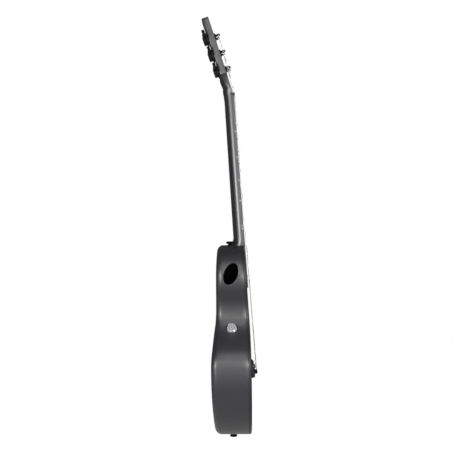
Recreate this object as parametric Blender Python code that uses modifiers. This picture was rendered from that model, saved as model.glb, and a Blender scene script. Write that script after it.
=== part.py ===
# Acoustic-electric travel guitar, upright, strings facing +X, bass side facing -Y, +Z towards the headstock.
# The origin is the nut's speaking edge, on the centre line, in the plane of the fretboard's face.
# Lengths are in metres.

import math

import bmesh
import bpy
from mathutils import Matrix, Vector

# Gaps between pieces
SEAT_GAP = 0.0003
TURN_GAP = 0.0002
FIT_GAP = 0.0003

# How far cutters run past what they cut
CUT_PAST = 0.02
CUT_THROUGH = 0.05

# Neck, fretboard and frets
SCALE_LENGTH = 0.600
NECK_ANGLE = math.radians(4.25)
FRET_COUNT = 20
NUT_WIDTH = 0.043
BOARD_END_WIDTH = 0.0557
BOARD_PAST_FRETS = 0.013
BOARD_THICKNESS = 0.0055
BOARD_RISE = 0.0037
FRET_WIDTH = 0.0022
FRET_HEIGHT = 0.0011
# Reach along the board in widths and rise in heights of the points of a fret's section
FRET_SECTION = ((-0.5, -0.4), (-0.5, 0.35), (-0.2, 1.0), (0.2, 1.0), (0.5, 0.35), (0.5, -0.4))
DOT_RADIUS = 0.001
DOT_DEPTH = 0.0006
DOT_SHARE = 0.62
DOT_FRETS = (3, 5, 7, 9, 12, 15, 17)
DOUBLE_DOT_FRET = 12
DOUBLE_DOT_SPACING = 0.007
NUT_LENGTH = 0.005
NUT_RISE = 0.0020
NUT_SLOT_RISE = 0.0009
NECK_THICKNESS_AT_NUT = 0.0218
NECK_THICKNESS_AT_HEEL = 0.0245
HEEL_FLARE = 0.0095
HEEL_FLARE_LENGTH = 0.017
# Height, half width and depth behind the headstock's back of the sections between headstock and neck
VOLUTE_SECTIONS = ((0.055, 0.020, -0.0012), (0.036, 0.024, 0.0046), (0.016, 0.0235, 0.0035))
# Share of the neck's length and added thickness of the sections from the nut to the heel
NECK_SECTIONS = ((-0.018, 0.0022), (0.0, 0.0012), (0.05, 0.0), (0.10, 0.0), (0.4, 0.0), (0.7, 0.0),
                 (1.0, 0.0))
HEEL_SHARES = (0.35, 0.7, 1.0)
# Depth of the volute's front as a share of the headstock's thickness, and the roundness of a section's back
VOLUTE_FRONT_SHARE = 0.7
SECTION_ROUNDNESS = 0.85

# Headstock and tuners
HEAD_ANGLE = math.radians(18.3)
HEAD_DROP = 0.0018
HEAD_LENGTH = 0.1752
HEAD_START = 0.0018
HEAD_THICKNESS = 0.015
HEAD_HALF_WIDTH = 0.033
HEAD_TOP_HALF_WIDTH = 0.029
HEAD_ROOT_CLEAR = 0.0005
HEAD_FLARE_START = 0.022
HEAD_FLARE_TURN = 0.020
HEAD_FLARE_PULL = 0.001
HEAD_FLARE_END = 0.046
HEAD_TAPER_START = 0.125
HEAD_CORNER_DROP = 0.004
HEAD_CORNER_WIDTH = 0.003
HEAD_EDGE = 0.0009
POST_FIRST = 0.0545
POST_PITCH = 0.0374
POST_OFFSET = 0.023
POST_RADIUS = 0.003
POST_WAIST_RADIUS = 0.0024
POST_HEIGHT = 0.0125
WAIST_LOW = 0.0040
WAIST_HIGH = 0.0106
BUSH_BORE = 0.0033
BUSH_RADIUS = 0.0044
BUSH_FLANGE = 0.0064
BUSH_DOME = 0.0030
WORM_DEPTH = 0.0063
WORM_RADIUS = 0.0022
WORM_LENGTH = 0.009
WORM_SHAFT_RADIUS = 0.0015
WORM_TURN_GAP = 0.0003
WHEEL_RADIUS = 0.0050
WHEEL_TEETH = 15
WHEEL_TOOTH = 0.0008
WHEEL_THICKNESS = 0.003
HOUSING_DEPTH = 0.0100
HOUSING_HALF_WIDTH = 0.0069
HOUSING_WALL = 0.0013
HOUSING_ROOF = 0.0016
HOUSING_LUG = 0.0044
HOUSING_LUG_THICKNESS = 0.0022
HOUSING_LUG_HALF_WIDTH = 0.0032
BUTTON_START = 0.0165
BUTTON_LENGTH = 0.015
BUTTON_WIDTH = 0.0195
BUTTON_THICKNESS = 0.0064
BUTTON_EDGE = 0.0025
BUTTON_SHAFT_SINK = 0.004
TUNER_SCREW_RADIUS = 0.001
TUNER_SCREW_HEAD = 0.0018
TUNER_SCREW_LENGTH = 0.008
TUNER_SCREW_HEAD_HEIGHT = 0.0012

# Strings, first to sixth
STRING_RADII = (0.00015, 0.0002, 0.0003, 0.0004, 0.00053, 0.00067)
NUT_SPREAD = 0.0358
SADDLE_SPREAD = 0.0520
SADDLE_RISE = 0.0038
WINDING_TURNS = 2.4
WINDING_GAP = 0.00075
LOOP_POINTS = 24

# Body
SHOULDER_DROP = 0.331
BODY_LENGTH = 0.412
SHOULDER_FLAT = 0.045
END_FLAT = 0.014
UPPER_BOUT_HALF_WIDTH = 0.123
UPPER_BOUT_DROP = 0.065
WAIST_HALF_WIDTH = 0.102
WAIST_DROP = 0.141
LOWER_BOUT_HALF_WIDTH = 0.168
LOWER_BOUT_DROP = 0.251
BACK_AT_SHOULDER = 0.0358
BACK_AT_UPPER_BOUT = 0.0388
BACK_AT_WAIST = 0.0386
BACK_AT_LOWER_BOUT = 0.0487
BACK_AT_END = 0.0385
TOP_BEND_DROP = 0.490
TOP_END_SLOPE = 0.018
TOP_BEND_LENGTH = 0.022
WALL = 0.003
BACK_EDGE_RADIUS = 0.012
BACK_SHARES = (0.35, 0.75)
FRONT_EDGE_RADIUS = 0.0042
NECK_SEAT_RADIUS = 0.0008
SKIRT_DEPTH = 0.0058
RIM_WIDTH = 0.010
RIM_THICKNESS = 0.0025
TOP_THICKNESS = 0.003
SOUNDHOLE_RADIUS = 0.042
SOUNDHOLE_FROM_BOARD = 0.006
PORT_LENGTH = 0.0476
PORT_WIDTH = 0.029
PORT_LEAN = math.radians(20.0)
PORT_X = -0.0075
PORT_DROP = 0.058

# Bridge
BRIDGE_WIDTH = 0.140
BRIDGE_ABOVE_SADDLE = 0.0085
BRIDGE_BELOW_SADDLE = 0.0165
BRIDGE_HEIGHT = 0.009
BRIDGE_CHAMFER = 0.0035
BRIDGE_END_SLOPE = 0.006
BRIDGE_END_SHARE = 0.6
SADDLE_THICKNESS = 0.0026
SADDLE_WIDTH = 0.072
SADDLE_CROWN = 0.0006
SADDLE_FLAT_SHARE = 0.4
SADDLE_SLOT_DEPTH = 0.0060
PICKUP_THICKNESS = 0.0012
PIN_BEHIND_SADDLE = 0.0095
PIN_RADIUS = 0.0023
PIN_HEAD_RADIUS = 0.00375
PIN_HEAD_HEIGHT = 0.0060
PIN_LENGTH = 0.020
PIN_HOLE_RADIUS = 0.0027
STRING_SLOT_REACH = 0.0058
STRING_FROM_PIN = 0.0048
STRING_SLOT_HALF_WIDTH = 0.0011
BALL_RADIUS = 0.002
BALL_LENGTH = 0.0035
PLATE_WIDTH = 0.130
PLATE_LENGTH = 0.036
PLATE_THICKNESS = 0.0025

# Braces under the soundboard
BRACE_WIDTH = 0.008
BRACE_HEIGHT = 0.008
BRACE_END_CLEAR = 0.028
BRACE_HOLE_CLEAR = 0.012
BRACE_LEG_DROP = 0.070
BRACE_LEG_SPREAD = 0.040
BRACE_LEG_SINK = 0.0004
BRACE_FOOT_SHARE = 0.6

# Blocks, bolts and truss rod
NECK_BLOCK_WIDTH = 0.070
NECK_BLOCK_LENGTH = 0.030
NECK_BLOCK_FRONT = 0.0060
NECK_BLOCK_BACK = 0.0215
BOLT_X = 0.0035
BOLT_OFFSET = 0.010
BOLT_RADIUS = 0.0025
BOLT_HEAD_RADIUS = 0.0055
BOLT_HEAD_LENGTH = 0.005
BOLT_GRIP = 0.011
ROD_DEPTH = 0.0150
ROD_RADIUS = 0.0025
ROD_START = 0.014
ROD_END_CLEAR = 0.031
ROD_NUT_RADIUS = 0.003
ROD_NUT_LENGTH = 0.012
ROD_CHANNEL_WIDTH = 0.007
KEY_HOLE_RADIUS = 0.0032
END_BLOCK_WIDTH = 0.027
END_BLOCK_LENGTH = 0.018
END_BLOCK_BACK = 0.022
END_BLOCK_FRONT = 0.022

# Strap buttons
STRAP_HEAD_RADIUS = 0.0080
STRAP_STEM_RADIUS = 0.0036
STRAP_FOOT_RADIUS = 0.0055
STRAP_HEIGHT = 0.0100
STRAP_CROWN = 0.0006
NECK_STRAP_X = -0.0095
NECK_STRAP_Y = -0.036
END_STRAP_X = -0.0005
STRAP_SCREW_RADIUS = 0.0018
STRAP_SCREW_LENGTH = 0.016

# Control knob and electronics
KNOB_DROP = 0.174
KNOB_X = -0.0055
KNOB_RADIUS = 0.0120
KNOB_FACE_RADIUS = 0.0087
KNOB_HEIGHT = 0.0064
KNOB_RIM_WIDTH = 0.0005
KNOB_RIM_DROP = 0.0005
KNOB_CLEAR = 0.0002
KNOB_NUT_CLEAR = 0.0008
KNOB_GRIP = 0.0015
KNOB_RECESS_RADIUS = 0.0132
KNOB_RECESS_DEPTH = 0.0012
POT_BODY_RADIUS = 0.0085
POT_BODY_LENGTH = 0.009
POT_BUSH_RADIUS = 0.0045
POT_BUSH_REACH = 0.0022
POT_SHAFT_RADIUS = 0.003
POT_SHAFT_REACH = 0.0025
POT_SHAFT_START = 0.001
POT_NUT_RADIUS = 0.0070
POT_NUT_THICKNESS = 0.0018
PREAMP_SIZE = (0.046, 0.034, 0.014)
BATTERY_SIZE = (0.0175, 0.0265, 0.0485)
BATTERY_Y = 0.060
HOLDER_WALL = 0.0018
HOLDER_RIM = 0.009
HOLDER_PAD = 0.0014
JACK_Y = 0.029
JACK_X = -0.0005
JACK_FLANGE_RADIUS = 0.0085
JACK_FLANGE_THICKNESS = 0.0012
JACK_RADIUS = 0.006
JACK_LENGTH = 0.030
JACK_BORE = 0.0034
JACK_BORE_DEPTH = 0.027
JACK_NUT_RADIUS = 0.009
JACK_NUT_THICKNESS = 0.003
LEAD_RADIUS = 0.0011
LEAD_POINT_SPACING = 0.0066
LEAD_HOLE_RADIUS = 0.0016
LEAD_FROM_SADDLE_END = 0.004
LEAD_RUN_OUT = 0.018
# Points that the leads pass: the pickup's from the saddle's height, the jack's from the body's end
PICKUP_LEAD_ROUTE = ((0.018, -0.046, 0.018), (0.011, -0.070, 0.050))
JACK_LEAD_ROUTE = ((-0.028, 0.018, 0.063), (-0.038, -0.010, 0.095), (-0.041, -0.045, 0.145),
                   (-0.033, -0.070, 0.180))
JACK_LEAD_DIP = 0.003
JACK_LEAD_START = 0.012
PICKUP_LEAD_X = 0.010
JACK_LEAD_X = -0.012

# Sides of round pieces
ROUND_STEPS = 16
SMALL_STEPS = 12
TINY_STEPS = 8
KNOB_STEPS = 24
PORT_STEPS = 28

# Places that follow from the sizes
BOARD_LENGTH = SCALE_LENGTH * (1.0 - 2.0 ** (-FRET_COUNT / 12.0)) + BOARD_PAST_FRETS
SHOULDER_Z = -SHOULDER_DROP
ROD_END = SHOULDER_DROP - ROD_END_CLEAR
BODY_END_Z = SHOULDER_Z - BODY_LENGTH
BOARD_END_Z = -BOARD_LENGTH * math.cos(NECK_ANGLE)
SOUNDHOLE_Z = BOARD_END_Z - SOUNDHOLE_FROM_BOARD - SOUNDHOLE_RADIUS
SADDLE_Z = -SCALE_LENGTH * math.cos(NECK_ANGLE)
HEAD_BACK = -HEAD_THICKNESS - SEAT_GAP
WORM_OFFSET = WHEEL_RADIUS + WORM_RADIUS + WORM_TURN_GAP
HOUSING_TOP = WORM_OFFSET + WORM_RADIUS + SEAT_GAP + HOUSING_WALL
HOUSING_BOTTOM = -HOUSING_HALF_WIDTH
STRING_COUNT = len(STRING_RADII)
POSTS_PER_SIDE = STRING_COUNT // 2

# Frames: the fretboard's face and the headstock's face, each with local +X outwards and +Z up the neck
NECK_FRAME = Matrix.Rotation(-NECK_ANGLE, 4, "Y")
HEAD_ROOT = NECK_FRAME @ Vector((-HEAD_DROP, 0.0, NUT_LENGTH))
HEAD_FRAME = Matrix.Translation(HEAD_ROOT) @ Matrix.Rotation(-HEAD_ANGLE, 4, "Y")
Z_TO_X = Matrix.Rotation(math.pi / 2, 4, "Y")
Z_TO_Y = Matrix.Rotation(-math.pi / 2, 4, "X")
Z_DOWN = Matrix.Rotation(math.pi, 4, "X")


def clear_scene():
    for thing in list(bpy.data.objects):
        bpy.data.objects.remove(thing, do_unlink=True)


def new_collection(name):
    group = bpy.data.collections.new(name)
    bpy.context.scene.collection.children.link(group)
    return group


clear_scene()
PARTS = new_collection("acoustic_electric_guitar")
CUTTERS = new_collection("cutters")

FINISHES = {
    "shell": ((0.060, 0.060, 0.066), 0.42, 0.0),
    "black": ((0.012, 0.012, 0.013), 0.35, 0.0),
    "black_metal": ((0.015, 0.015, 0.016), 0.30, 0.6),
    "board": ((0.040, 0.040, 0.044), 0.50, 0.0),
    "steel": ((0.62, 0.62, 0.63), 0.25, 1.0),
    "knob": ((0.55, 0.55, 0.56), 0.30, 1.0),
    "bone": ((0.82, 0.78, 0.68), 0.45, 0.0),
    "brass": ((0.70, 0.52, 0.22), 0.30, 1.0),
    "wood": ((0.42, 0.27, 0.15), 0.60, 0.0),
    "plastic": ((0.05, 0.05, 0.05), 0.50, 0.0),
    "battery": ((0.12, 0.13, 0.16), 0.40, 0.0),
}


def new_material(name, finish):
    color, roughness, metallic = FINISHES[finish]
    material = bpy.data.materials.new(name)
    material.use_nodes = True
    shader = material.node_tree.nodes["Principled BSDF"]
    shader.inputs["Base Color"].default_value = (*color, 1.0)
    shader.inputs["Roughness"].default_value = roughness
    shader.inputs["Metallic"].default_value = metallic
    return material


# Building blocks

def place(thing, matrix, finish=None):
    """Link an object as a part with its material, or as a cutter when it has no finish."""
    if finish is None:
        CUTTERS.objects.link(thing)
        thing.hide_render = True
        thing.display_type = "WIRE"
    else:
        PARTS.objects.link(thing)
        thing.data.materials.append(new_material(thing.name, finish))
    thing.matrix_world = matrix
    return thing


def from_bmesh(name, bm, matrix, finish=None, smooth=False):
    bmesh.ops.recalc_face_normals(bm, faces=bm.faces)
    mesh = bpy.data.meshes.new(name)
    bm.to_mesh(mesh)
    bm.free()
    if smooth:
        mesh.shade_smooth()
        mesh.set_sharp_from_angle(angle=math.radians(35.0))
    return place(bpy.data.objects.new(name, mesh), matrix, finish)


def box(name, low, high, matrix=Matrix(), finish=None):
    """A box between two corners given in the frame of its matrix."""
    low = Vector(low)
    high = Vector(high)
    bm = bmesh.new()
    span = high - low
    bmesh.ops.create_cube(bm, size=1.0, matrix=Matrix.Diagonal((*span, 1.0)))
    middle = Matrix.Translation((low + high) / 2)
    return from_bmesh(name, bm, matrix @ middle, finish)


def rod(name, radius, start, end, matrix=Matrix(), finish=None, steps=ROUND_STEPS):
    """A cylinder along the matrix's Z axis, from start to end."""
    bm = bmesh.new()
    bmesh.ops.create_cone(bm, cap_ends=True, segments=steps, radius1=radius, radius2=radius,
                          depth=end - start)
    middle = Matrix.Translation((0.0, 0.0, (start + end) / 2))
    return from_bmesh(name, bm, matrix @ middle, finish, smooth=True)


def turned(name, profile, matrix, finish=None, steps=ROUND_STEPS, ring=False):
    """A profile of (radius, height) points, top to bottom down the outer side, turned about Z."""
    edges = [(index, index + 1) for index in range(len(profile) - 1)]
    if ring:
        edges.append((len(profile) - 1, 0))
    mesh = bpy.data.meshes.new(name)
    mesh.from_pydata([(radius, 0.0, height) for radius, height in profile], edges, [])
    thing = place(bpy.data.objects.new(name, mesh), matrix, finish)
    screw = thing.modifiers.new("turn", "SCREW")
    screw.steps = steps
    screw.render_steps = steps
    screw.use_merge_vertices = True
    screw.merge_threshold = 0.00001
    screw.use_smooth_shade = False
    return thing


def to_mesh(curve_object, matrix, finish=None):
    """Swap a curve object for a welded mesh, so that it can be cut or can cut."""
    bpy.context.view_layer.update()
    evaluated = curve_object.evaluated_get(bpy.context.evaluated_depsgraph_get())
    bm = bmesh.new()
    bm.from_mesh(bpy.data.meshes.new_from_object(evaluated))
    bmesh.ops.remove_doubles(bm, verts=bm.verts, dist=0.000001)
    name = curve_object.name
    bpy.data.objects.remove(curve_object, do_unlink=True)
    return from_bmesh(name, bm, matrix, finish)


def plate(name, outline, thickness, matrix, finish=None):
    """A flat outline in the matrix's XY plane, thick along its Z axis, centred on the plane."""
    curve = bpy.data.curves.new(name, "CURVE")
    curve.dimensions = "2D"
    curve.fill_mode = "BOTH"
    curve.extrude = thickness / 2
    spline = curve.splines.new("POLY")
    spline.points.add(len(outline) - 1)
    for point, (x, y) in zip(spline.points, outline):
        point.co = (x, y, 0.0, 1.0)
    spline.use_cyclic_u = True
    thing = bpy.data.objects.new(name, curve)
    CUTTERS.objects.link(thing)
    return to_mesh(thing, matrix, finish)


def tube(name, points, radius, finish, resolution, widths=None):
    """A round tube; widths gives some points their own share of the radius, by index."""
    curve = bpy.data.curves.new(name, "CURVE")
    curve.dimensions = "3D"
    curve.bevel_depth = radius
    curve.bevel_resolution = resolution
    curve.use_fill_caps = True
    spline = curve.splines.new("POLY")
    spline.points.add(len(points) - 1)
    for target, point in zip(spline.points, points):
        target.co = (*point, 1.0)
    for index, share in (widths or {}).items():
        spline.points[index].radius = share
    return place(bpy.data.objects.new(name, curve), Matrix(), finish)


def hex_nut(name, bore, radius, low, high, matrix, finish):
    """A hexagonal nut whose six-sided hole clears a round bore."""
    inner = bore / math.cos(math.pi / 6)
    profile = ((inner, high), (radius, high), (radius, low), (inner, low))
    return turned(name, profile, matrix, finish, steps=6, ring=True)


def loft(name, rings, finish, matrix=Matrix(), ends="caps"):
    """Closed rings of equal length joined in turn. ends is caps, points or ring."""
    bm = bmesh.new()
    rows = [[bm.verts.new(point) for point in ring] for ring in rings]
    pairs = list(zip(rows, rows[1:]))
    if ends == "ring":
        pairs.append((rows[-1], rows[0]))
    for row, following in pairs:
        count = len(row)
        for index in range(count):
            after = (index + 1) % count
            bm.faces.new((row[index], row[after], following[after], following[index]))
    if ends == "caps":
        bm.faces.new(rows[0])
        bm.faces.new(rows[-1])
    if ends == "points":
        for row in (rows[0], rows[-1]):
            centre = sum((vert.co for vert in row), Vector()) / len(row)
            hub = bm.verts.new(centre)
            for index in range(len(row)):
                bm.faces.new((row[index], row[(index + 1) % len(row)], hub))
    return from_bmesh(name, bm, matrix, finish, smooth=True)


def group(name, members):
    """Several tools of one kind as one cutter."""
    bpy.context.view_layer.update()
    graph = bpy.context.evaluated_depsgraph_get()
    bm = bmesh.new()
    for member in members:
        mesh = bpy.data.meshes.new_from_object(member.evaluated_get(graph))
        mesh.transform(member.matrix_world)
        bm.from_mesh(mesh)
    for member in members:
        bpy.data.objects.remove(member, do_unlink=True)
    mesh = bpy.data.meshes.new(name)
    bm.to_mesh(mesh)
    bm.free()
    return place(bpy.data.objects.new(name, mesh), Matrix())


def combine(thing, tool, operation):
    modifier = thing.modifiers.new(f"{operation.lower()} {tool.name}", "BOOLEAN")
    modifier.operation = operation
    modifier.object = tool


def cut(thing, tool):
    combine(thing, tool, "DIFFERENCE")


def fuse(thing, tool):
    combine(thing, tool, "UNION")


# Shapes of the neck and body

def board_x(z):
    """The fretboard's face at a height."""
    return -z * math.tan(NECK_ANGLE)


def below_board(z, depth):
    return board_x(z) - depth / math.cos(NECK_ANGLE)


def board_half_width(along):
    return (NUT_WIDTH + (BOARD_END_WIDTH - NUT_WIDTH) * along / BOARD_LENGTH) / 2


def top_x(z):
    """The soundboard's face: along the neck's plane, then a soft bend back to a slight slope."""
    past = -TOP_BEND_DROP - z
    if past <= 0.0:
        return below_board(z, BOARD_RISE)
    start = below_board(-TOP_BEND_DROP, BOARD_RISE)
    bend = math.tan(NECK_ANGLE) - TOP_END_SLOPE
    return start + TOP_END_SLOPE * past + bend * TOP_BEND_LENGTH * (1.0 - math.exp(-past / TOP_BEND_LENGTH))


def back_x(z):
    """The back's outer face, full at the bouts and drawn in at the waist and both ends."""
    drop = min(max(SHOULDER_Z - z, 0.0), BODY_LENGTH)
    if drop < UPPER_BOUT_DROP:
        share = 1.0 - (1.0 - drop / UPPER_BOUT_DROP) ** 2
        first, last = BACK_AT_SHOULDER, BACK_AT_UPPER_BOUT
    elif drop < WAIST_DROP:
        share = (drop - UPPER_BOUT_DROP) / (WAIST_DROP - UPPER_BOUT_DROP)
        share = share * share * (3.0 - 2.0 * share)
        first, last = BACK_AT_UPPER_BOUT, BACK_AT_WAIST
    elif drop < LOWER_BOUT_DROP:
        share = (drop - WAIST_DROP) / (LOWER_BOUT_DROP - WAIST_DROP)
        share = share * share * (3.0 - 2.0 * share)
        first, last = BACK_AT_WAIST, BACK_AT_LOWER_BOUT
    else:
        share = ((drop - LOWER_BOUT_DROP) / (BODY_LENGTH - LOWER_BOUT_DROP)) ** 2
        first, last = BACK_AT_LOWER_BOUT, BACK_AT_END
    return -(first + (last - first) * share)


def cubic(first, second, third, fourth, count):
    """Points of a cubic curve from its start up to, and not with, its end."""
    points = []
    for index in range(count):
        t = index / count
        u = 1.0 - t
        points.append(first * u ** 3 + second * 3 * u * u * t + third * 3 * u * t * t + fourth * t ** 3)
    return points


def body_outline():
    """The body's outline as (y, z) points: down the treble side and up the bass side."""
    round_handle = 0.58
    waist_handle = 0.45
    top = Vector((SHOULDER_FLAT, 0.0))
    upper = Vector((UPPER_BOUT_HALF_WIDTH, UPPER_BOUT_DROP))
    waist = Vector((WAIST_HALF_WIDTH, WAIST_DROP))
    lower = Vector((LOWER_BOUT_HALF_WIDTH, LOWER_BOUT_DROP))
    bottom = Vector((END_FLAT, BODY_LENGTH))
    across = Vector((1.0, 0.0))
    down = Vector((0.0, 1.0))
    half = [Vector((0.0, 0.0))]
    upper_reach = upper - top
    half += cubic(top, top + across * upper_reach.x * round_handle,
                  upper - down * upper_reach.y * round_handle, upper, 6)
    waist_reach = (waist.y - upper.y) * waist_handle
    half += cubic(upper, upper + down * waist_reach, waist - down * waist_reach, waist, 4)
    lower_reach = (lower.y - waist.y) * waist_handle
    half += cubic(waist, waist + down * lower_reach, lower - down * lower_reach, lower, 6)
    bottom_reach = lower - bottom
    half += cubic(lower, lower - down * bottom_reach.y * round_handle,
                  bottom + across * bottom_reach.x * round_handle, bottom, 8)
    half += [bottom, Vector((0.0, BODY_LENGTH))]
    right = [Vector((y, SHOULDER_Z - drop)) for y, drop in half]
    left = [Vector((-point.x, point.y)) for point in right[-2:0:-1]]
    return right + left


OUTLINE = body_outline()


def outward(index):
    before = OUTLINE[index - 1]
    after = OUTLINE[(index + 1) % len(OUTLINE)]
    along = (after - before).normalized()
    return Vector((-along.y, along.x))


def inset_ring(inset, depth_at):
    """The outline moved inwards, as 3-D points whose x comes from depth_at(z)."""
    ring = []
    for index, point in enumerate(OUTLINE):
        moved = point - outward(index) * inset
        ring.append(Vector((depth_at(moved.y), moved.x, moved.y)))
    return ring


def shrunk_ring(inset, share, depth_at):
    """The inset outline drawn in towards the middle of the body."""
    middle_z = SHOULDER_Z - BODY_LENGTH / 2
    ring = []
    for point in inset_ring(inset, depth_at):
        z = middle_z + (point.z - middle_z) * share
        ring.append(Vector((depth_at(z), point.y * share, z)))
    return ring


def front_edge_ring(turn):
    """The outline as the front edge turns from the side (0) to the face, nearly sharp where the neck sits."""
    ring = []
    for index, point in enumerate(OUTLINE):
        radius = FRONT_EDGE_RADIUS if point.y < SHOULDER_Z else NECK_SEAT_RADIUS
        moved = point - outward(index) * radius * (1.0 - math.cos(turn))
        ring.append(Vector((top_x(moved.y) - radius * (1.0 - math.sin(turn)), moved.x, moved.y)))
    return ring


def bass_wall(z):
    """The point and outward normal of the bass side at a height, as two (y, z) vectors."""
    count = len(OUTLINE)
    for index in range(count // 2, count):
        here = OUTLINE[index]
        after = OUTLINE[(index + 1) % count]
        if here.y <= z <= after.y and after.y > here.y:
            share = (z - here.y) / (after.y - here.y)
            along = (after - here).normalized()
            return here.lerp(after, share), Vector((-along.y, along.x))
    raise ValueError("the height is outside the bass side")


def end_wall(y):
    """The point and outward normal of the body's end on the treble side, as two (y, z) vectors."""
    for here, after in zip(OUTLINE, OUTLINE[1:]):
        if after.x <= y < here.x and here.y < SHOULDER_Z - LOWER_BOUT_DROP:
            share = (here.x - y) / (here.x - after.x)
            along = (after - here).normalized()
            return here.lerp(after, share), Vector((-along.y, along.x))
    raise ValueError("the place is outside the end on the treble side")


def wall_frame(wall, x):
    """On the body's side at a height x, with local +Z out of the body and +X as the body's +X."""
    point, normal = wall
    out = Vector((0.0, normal.x, normal.y))
    across = Vector((1.0, 0.0, 0.0))
    up = out.cross(across)
    matrix = Matrix((across, up, out)).transposed().to_4x4()
    return Matrix.Translation((x, point.x, point.y)) @ matrix


# Body

def make_body_shell():
    """Sides and back in one, open in front, with a rim that the soundboard's skirt sits on."""
    rings = []
    for share in BACK_SHARES:
        rings.append(shrunk_ring(BACK_EDGE_RADIUS, share, back_x))
    for degrees in (0, 30, 60, 90):
        turn = math.radians(degrees)
        inset = BACK_EDGE_RADIUS * (1.0 - math.sin(turn))
        lift = BACK_EDGE_RADIUS * (1.0 - math.cos(turn))
        rings.append(inset_ring(inset, lambda z, lift=lift: back_x(z) + lift))
    seam = SKIRT_DEPTH + SEAT_GAP
    under = seam + RIM_THICKNESS
    slant = (RIM_WIDTH - WALL) / 2
    rings.append(inset_ring(0.0, lambda z: top_x(z) - seam))
    rings.append(inset_ring(RIM_WIDTH, lambda z: top_x(z) - seam))
    rings.append(inset_ring(RIM_WIDTH, lambda z: top_x(z) - under))
    rings.append(inset_ring(WALL, lambda z: top_x(z) - under - slant))
    inner_radius = BACK_EDGE_RADIUS - WALL
    for degrees in (90, 45, 0):
        turn = math.radians(degrees)
        inset = WALL + inner_radius * (1.0 - math.sin(turn))
        lift = WALL + inner_radius * (1.0 - math.cos(turn))
        rings.append(inset_ring(inset, lambda z, lift=lift: back_x(z) + lift))
    for share in reversed(BACK_SHARES):
        rings.append(shrunk_ring(BACK_EDGE_RADIUS, share, lambda z: back_x(z) + WALL))
    shell = loft("body_shell", rings, "shell", ends="points")
    cut(shell, port_cutter())
    return shell


def port_cutter():
    """The oval side port, cut straight through the bass side."""
    centre_z = SHOULDER_Z - PORT_DROP
    wall, _ = bass_wall(centre_z)
    bm = bmesh.new()
    bmesh.ops.create_cone(bm, cap_ends=True, segments=PORT_STEPS, radius1=0.5, radius2=0.5, depth=CUT_THROUGH,
                          matrix=Matrix.Diagonal((PORT_LENGTH, PORT_WIDTH, 1.0, 1.0)))
    lean = Matrix.Rotation(math.pi / 2 - PORT_LEAN, 4, "Y").inverted()
    matrix = Matrix.Translation((PORT_X, wall.x, centre_z)) @ lean @ Z_TO_Y
    return from_bmesh("port_cutter", bm, matrix)


def make_soundboard():
    """The top plate with its skirt down to the shell's rim, open at the round soundhole."""
    centre = Vector((0.0, SOUNDHOLE_Z))
    edge = inset_ring(RIM_WIDTH, top_x)

    def ring(share, lift):
        points = []
        for point in edge:
            flat = Vector((point.y, point.z))
            rim = centre + (flat - centre).normalized() * SOUNDHOLE_RADIUS
            moved = flat.lerp(rim, share)
            points.append(Vector((top_x(moved.y) + lift, moved.x, moved.y)))
        return points

    rings = [inset_ring(0.0, lambda z: top_x(z) - SKIRT_DEPTH)]
    rings += [front_edge_ring(math.radians(degrees)) for degrees in (0, 45, 90)]
    shares = (0.0, 0.33, 0.67, 1.0)
    rings += [ring(share, 0.0) for share in shares]
    rings += [ring(share, -TOP_THICKNESS) for share in reversed(shares)]
    rings.append(inset_ring(RIM_WIDTH, lambda z: top_x(z) - SKIRT_DEPTH))
    soundboard = loft("soundboard", rings, "shell", ends="ring")
    half_width = BOARD_END_WIDTH / 2 + FIT_GAP
    seat = box("board_seat", (-BOARD_THICKNESS - SEAT_GAP, -half_width, -BOARD_LENGTH - FIT_GAP),
               (CUT_PAST, half_width, -SHOULDER_DROP + CUT_PAST), NECK_FRAME)
    cut(soundboard, seat)
    return soundboard


def strip_under_top(name, start, end, finish=None, stations=7, sink=0.0):
    """A brace from one (y, z) point to another, following the soundboard's underside, lower by sink."""
    start = Vector(start)
    end = Vector(end)
    along = (end - start).normalized()
    side = Vector((-along.y, along.x)) * BRACE_WIDTH / 2
    rings = []
    for index in range(stations):
        middle = start.lerp(end, index / (stations - 1))
        ring = []
        foot = BRACE_HEIGHT - sink
        inner = side * BRACE_FOOT_SHARE
        for flat, depth in ((middle - side, sink), (middle + side, sink),
                            (middle + inner, foot), (middle - inner, foot)):
            x = top_x(flat.y) - TOP_THICKNESS - SEAT_GAP - depth
            ring.append(Vector((x, flat.x, flat.y)))
        rings.append(ring)
    return loft(name, rings, finish)


def make_bracing():
    """A bar across the upper bout, joined to two legs that run past the soundhole to the lower bout."""
    rail_z = SHOULDER_Z - UPPER_BOUT_DROP
    rail_y = UPPER_BOUT_HALF_WIDTH - BRACE_END_CLEAR
    low_z = SHOULDER_Z - LOWER_BOUT_DROP - BRACE_LEG_DROP
    low_y = PLATE_WIDTH / 2 + BRACE_LEG_SPREAD
    high_y = SOUNDHOLE_RADIUS + BRACE_HOLE_CLEAR
    start_z = rail_z + BRACE_WIDTH / 6
    bracing = strip_under_top("top_bracing", (-rail_y, rail_z), (rail_y, rail_z), "wood")
    for side in (-1.0, 1.0):
        leg = strip_under_top(f"leg_{side:.0f}", (side * high_y, start_z), (side * low_y, low_z), stations=9,
                              sink=BRACE_LEG_SINK)
        fuse(bracing, leg)


# Neck

def neck_section(z, front, back, half_width, count=12):
    """A D-shaped section: flat in front, round behind."""
    ring = []
    for index in range(count + 1):
        turn = math.pi * index / count
        bulge = math.sin(turn) ** SECTION_ROUNDNESS if 0 < index < count else 0.0
        ring.append(Vector((front - (front - back) * bulge, -half_width * math.cos(turn), z)))
    return ring


def head_back_x(z):
    """The headstock's back face at a height."""
    lean = math.tan(HEAD_ANGLE)
    return HEAD_ROOT.x - (z - HEAD_ROOT.z) * lean - HEAD_THICKNESS / math.cos(HEAD_ANGLE)


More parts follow.
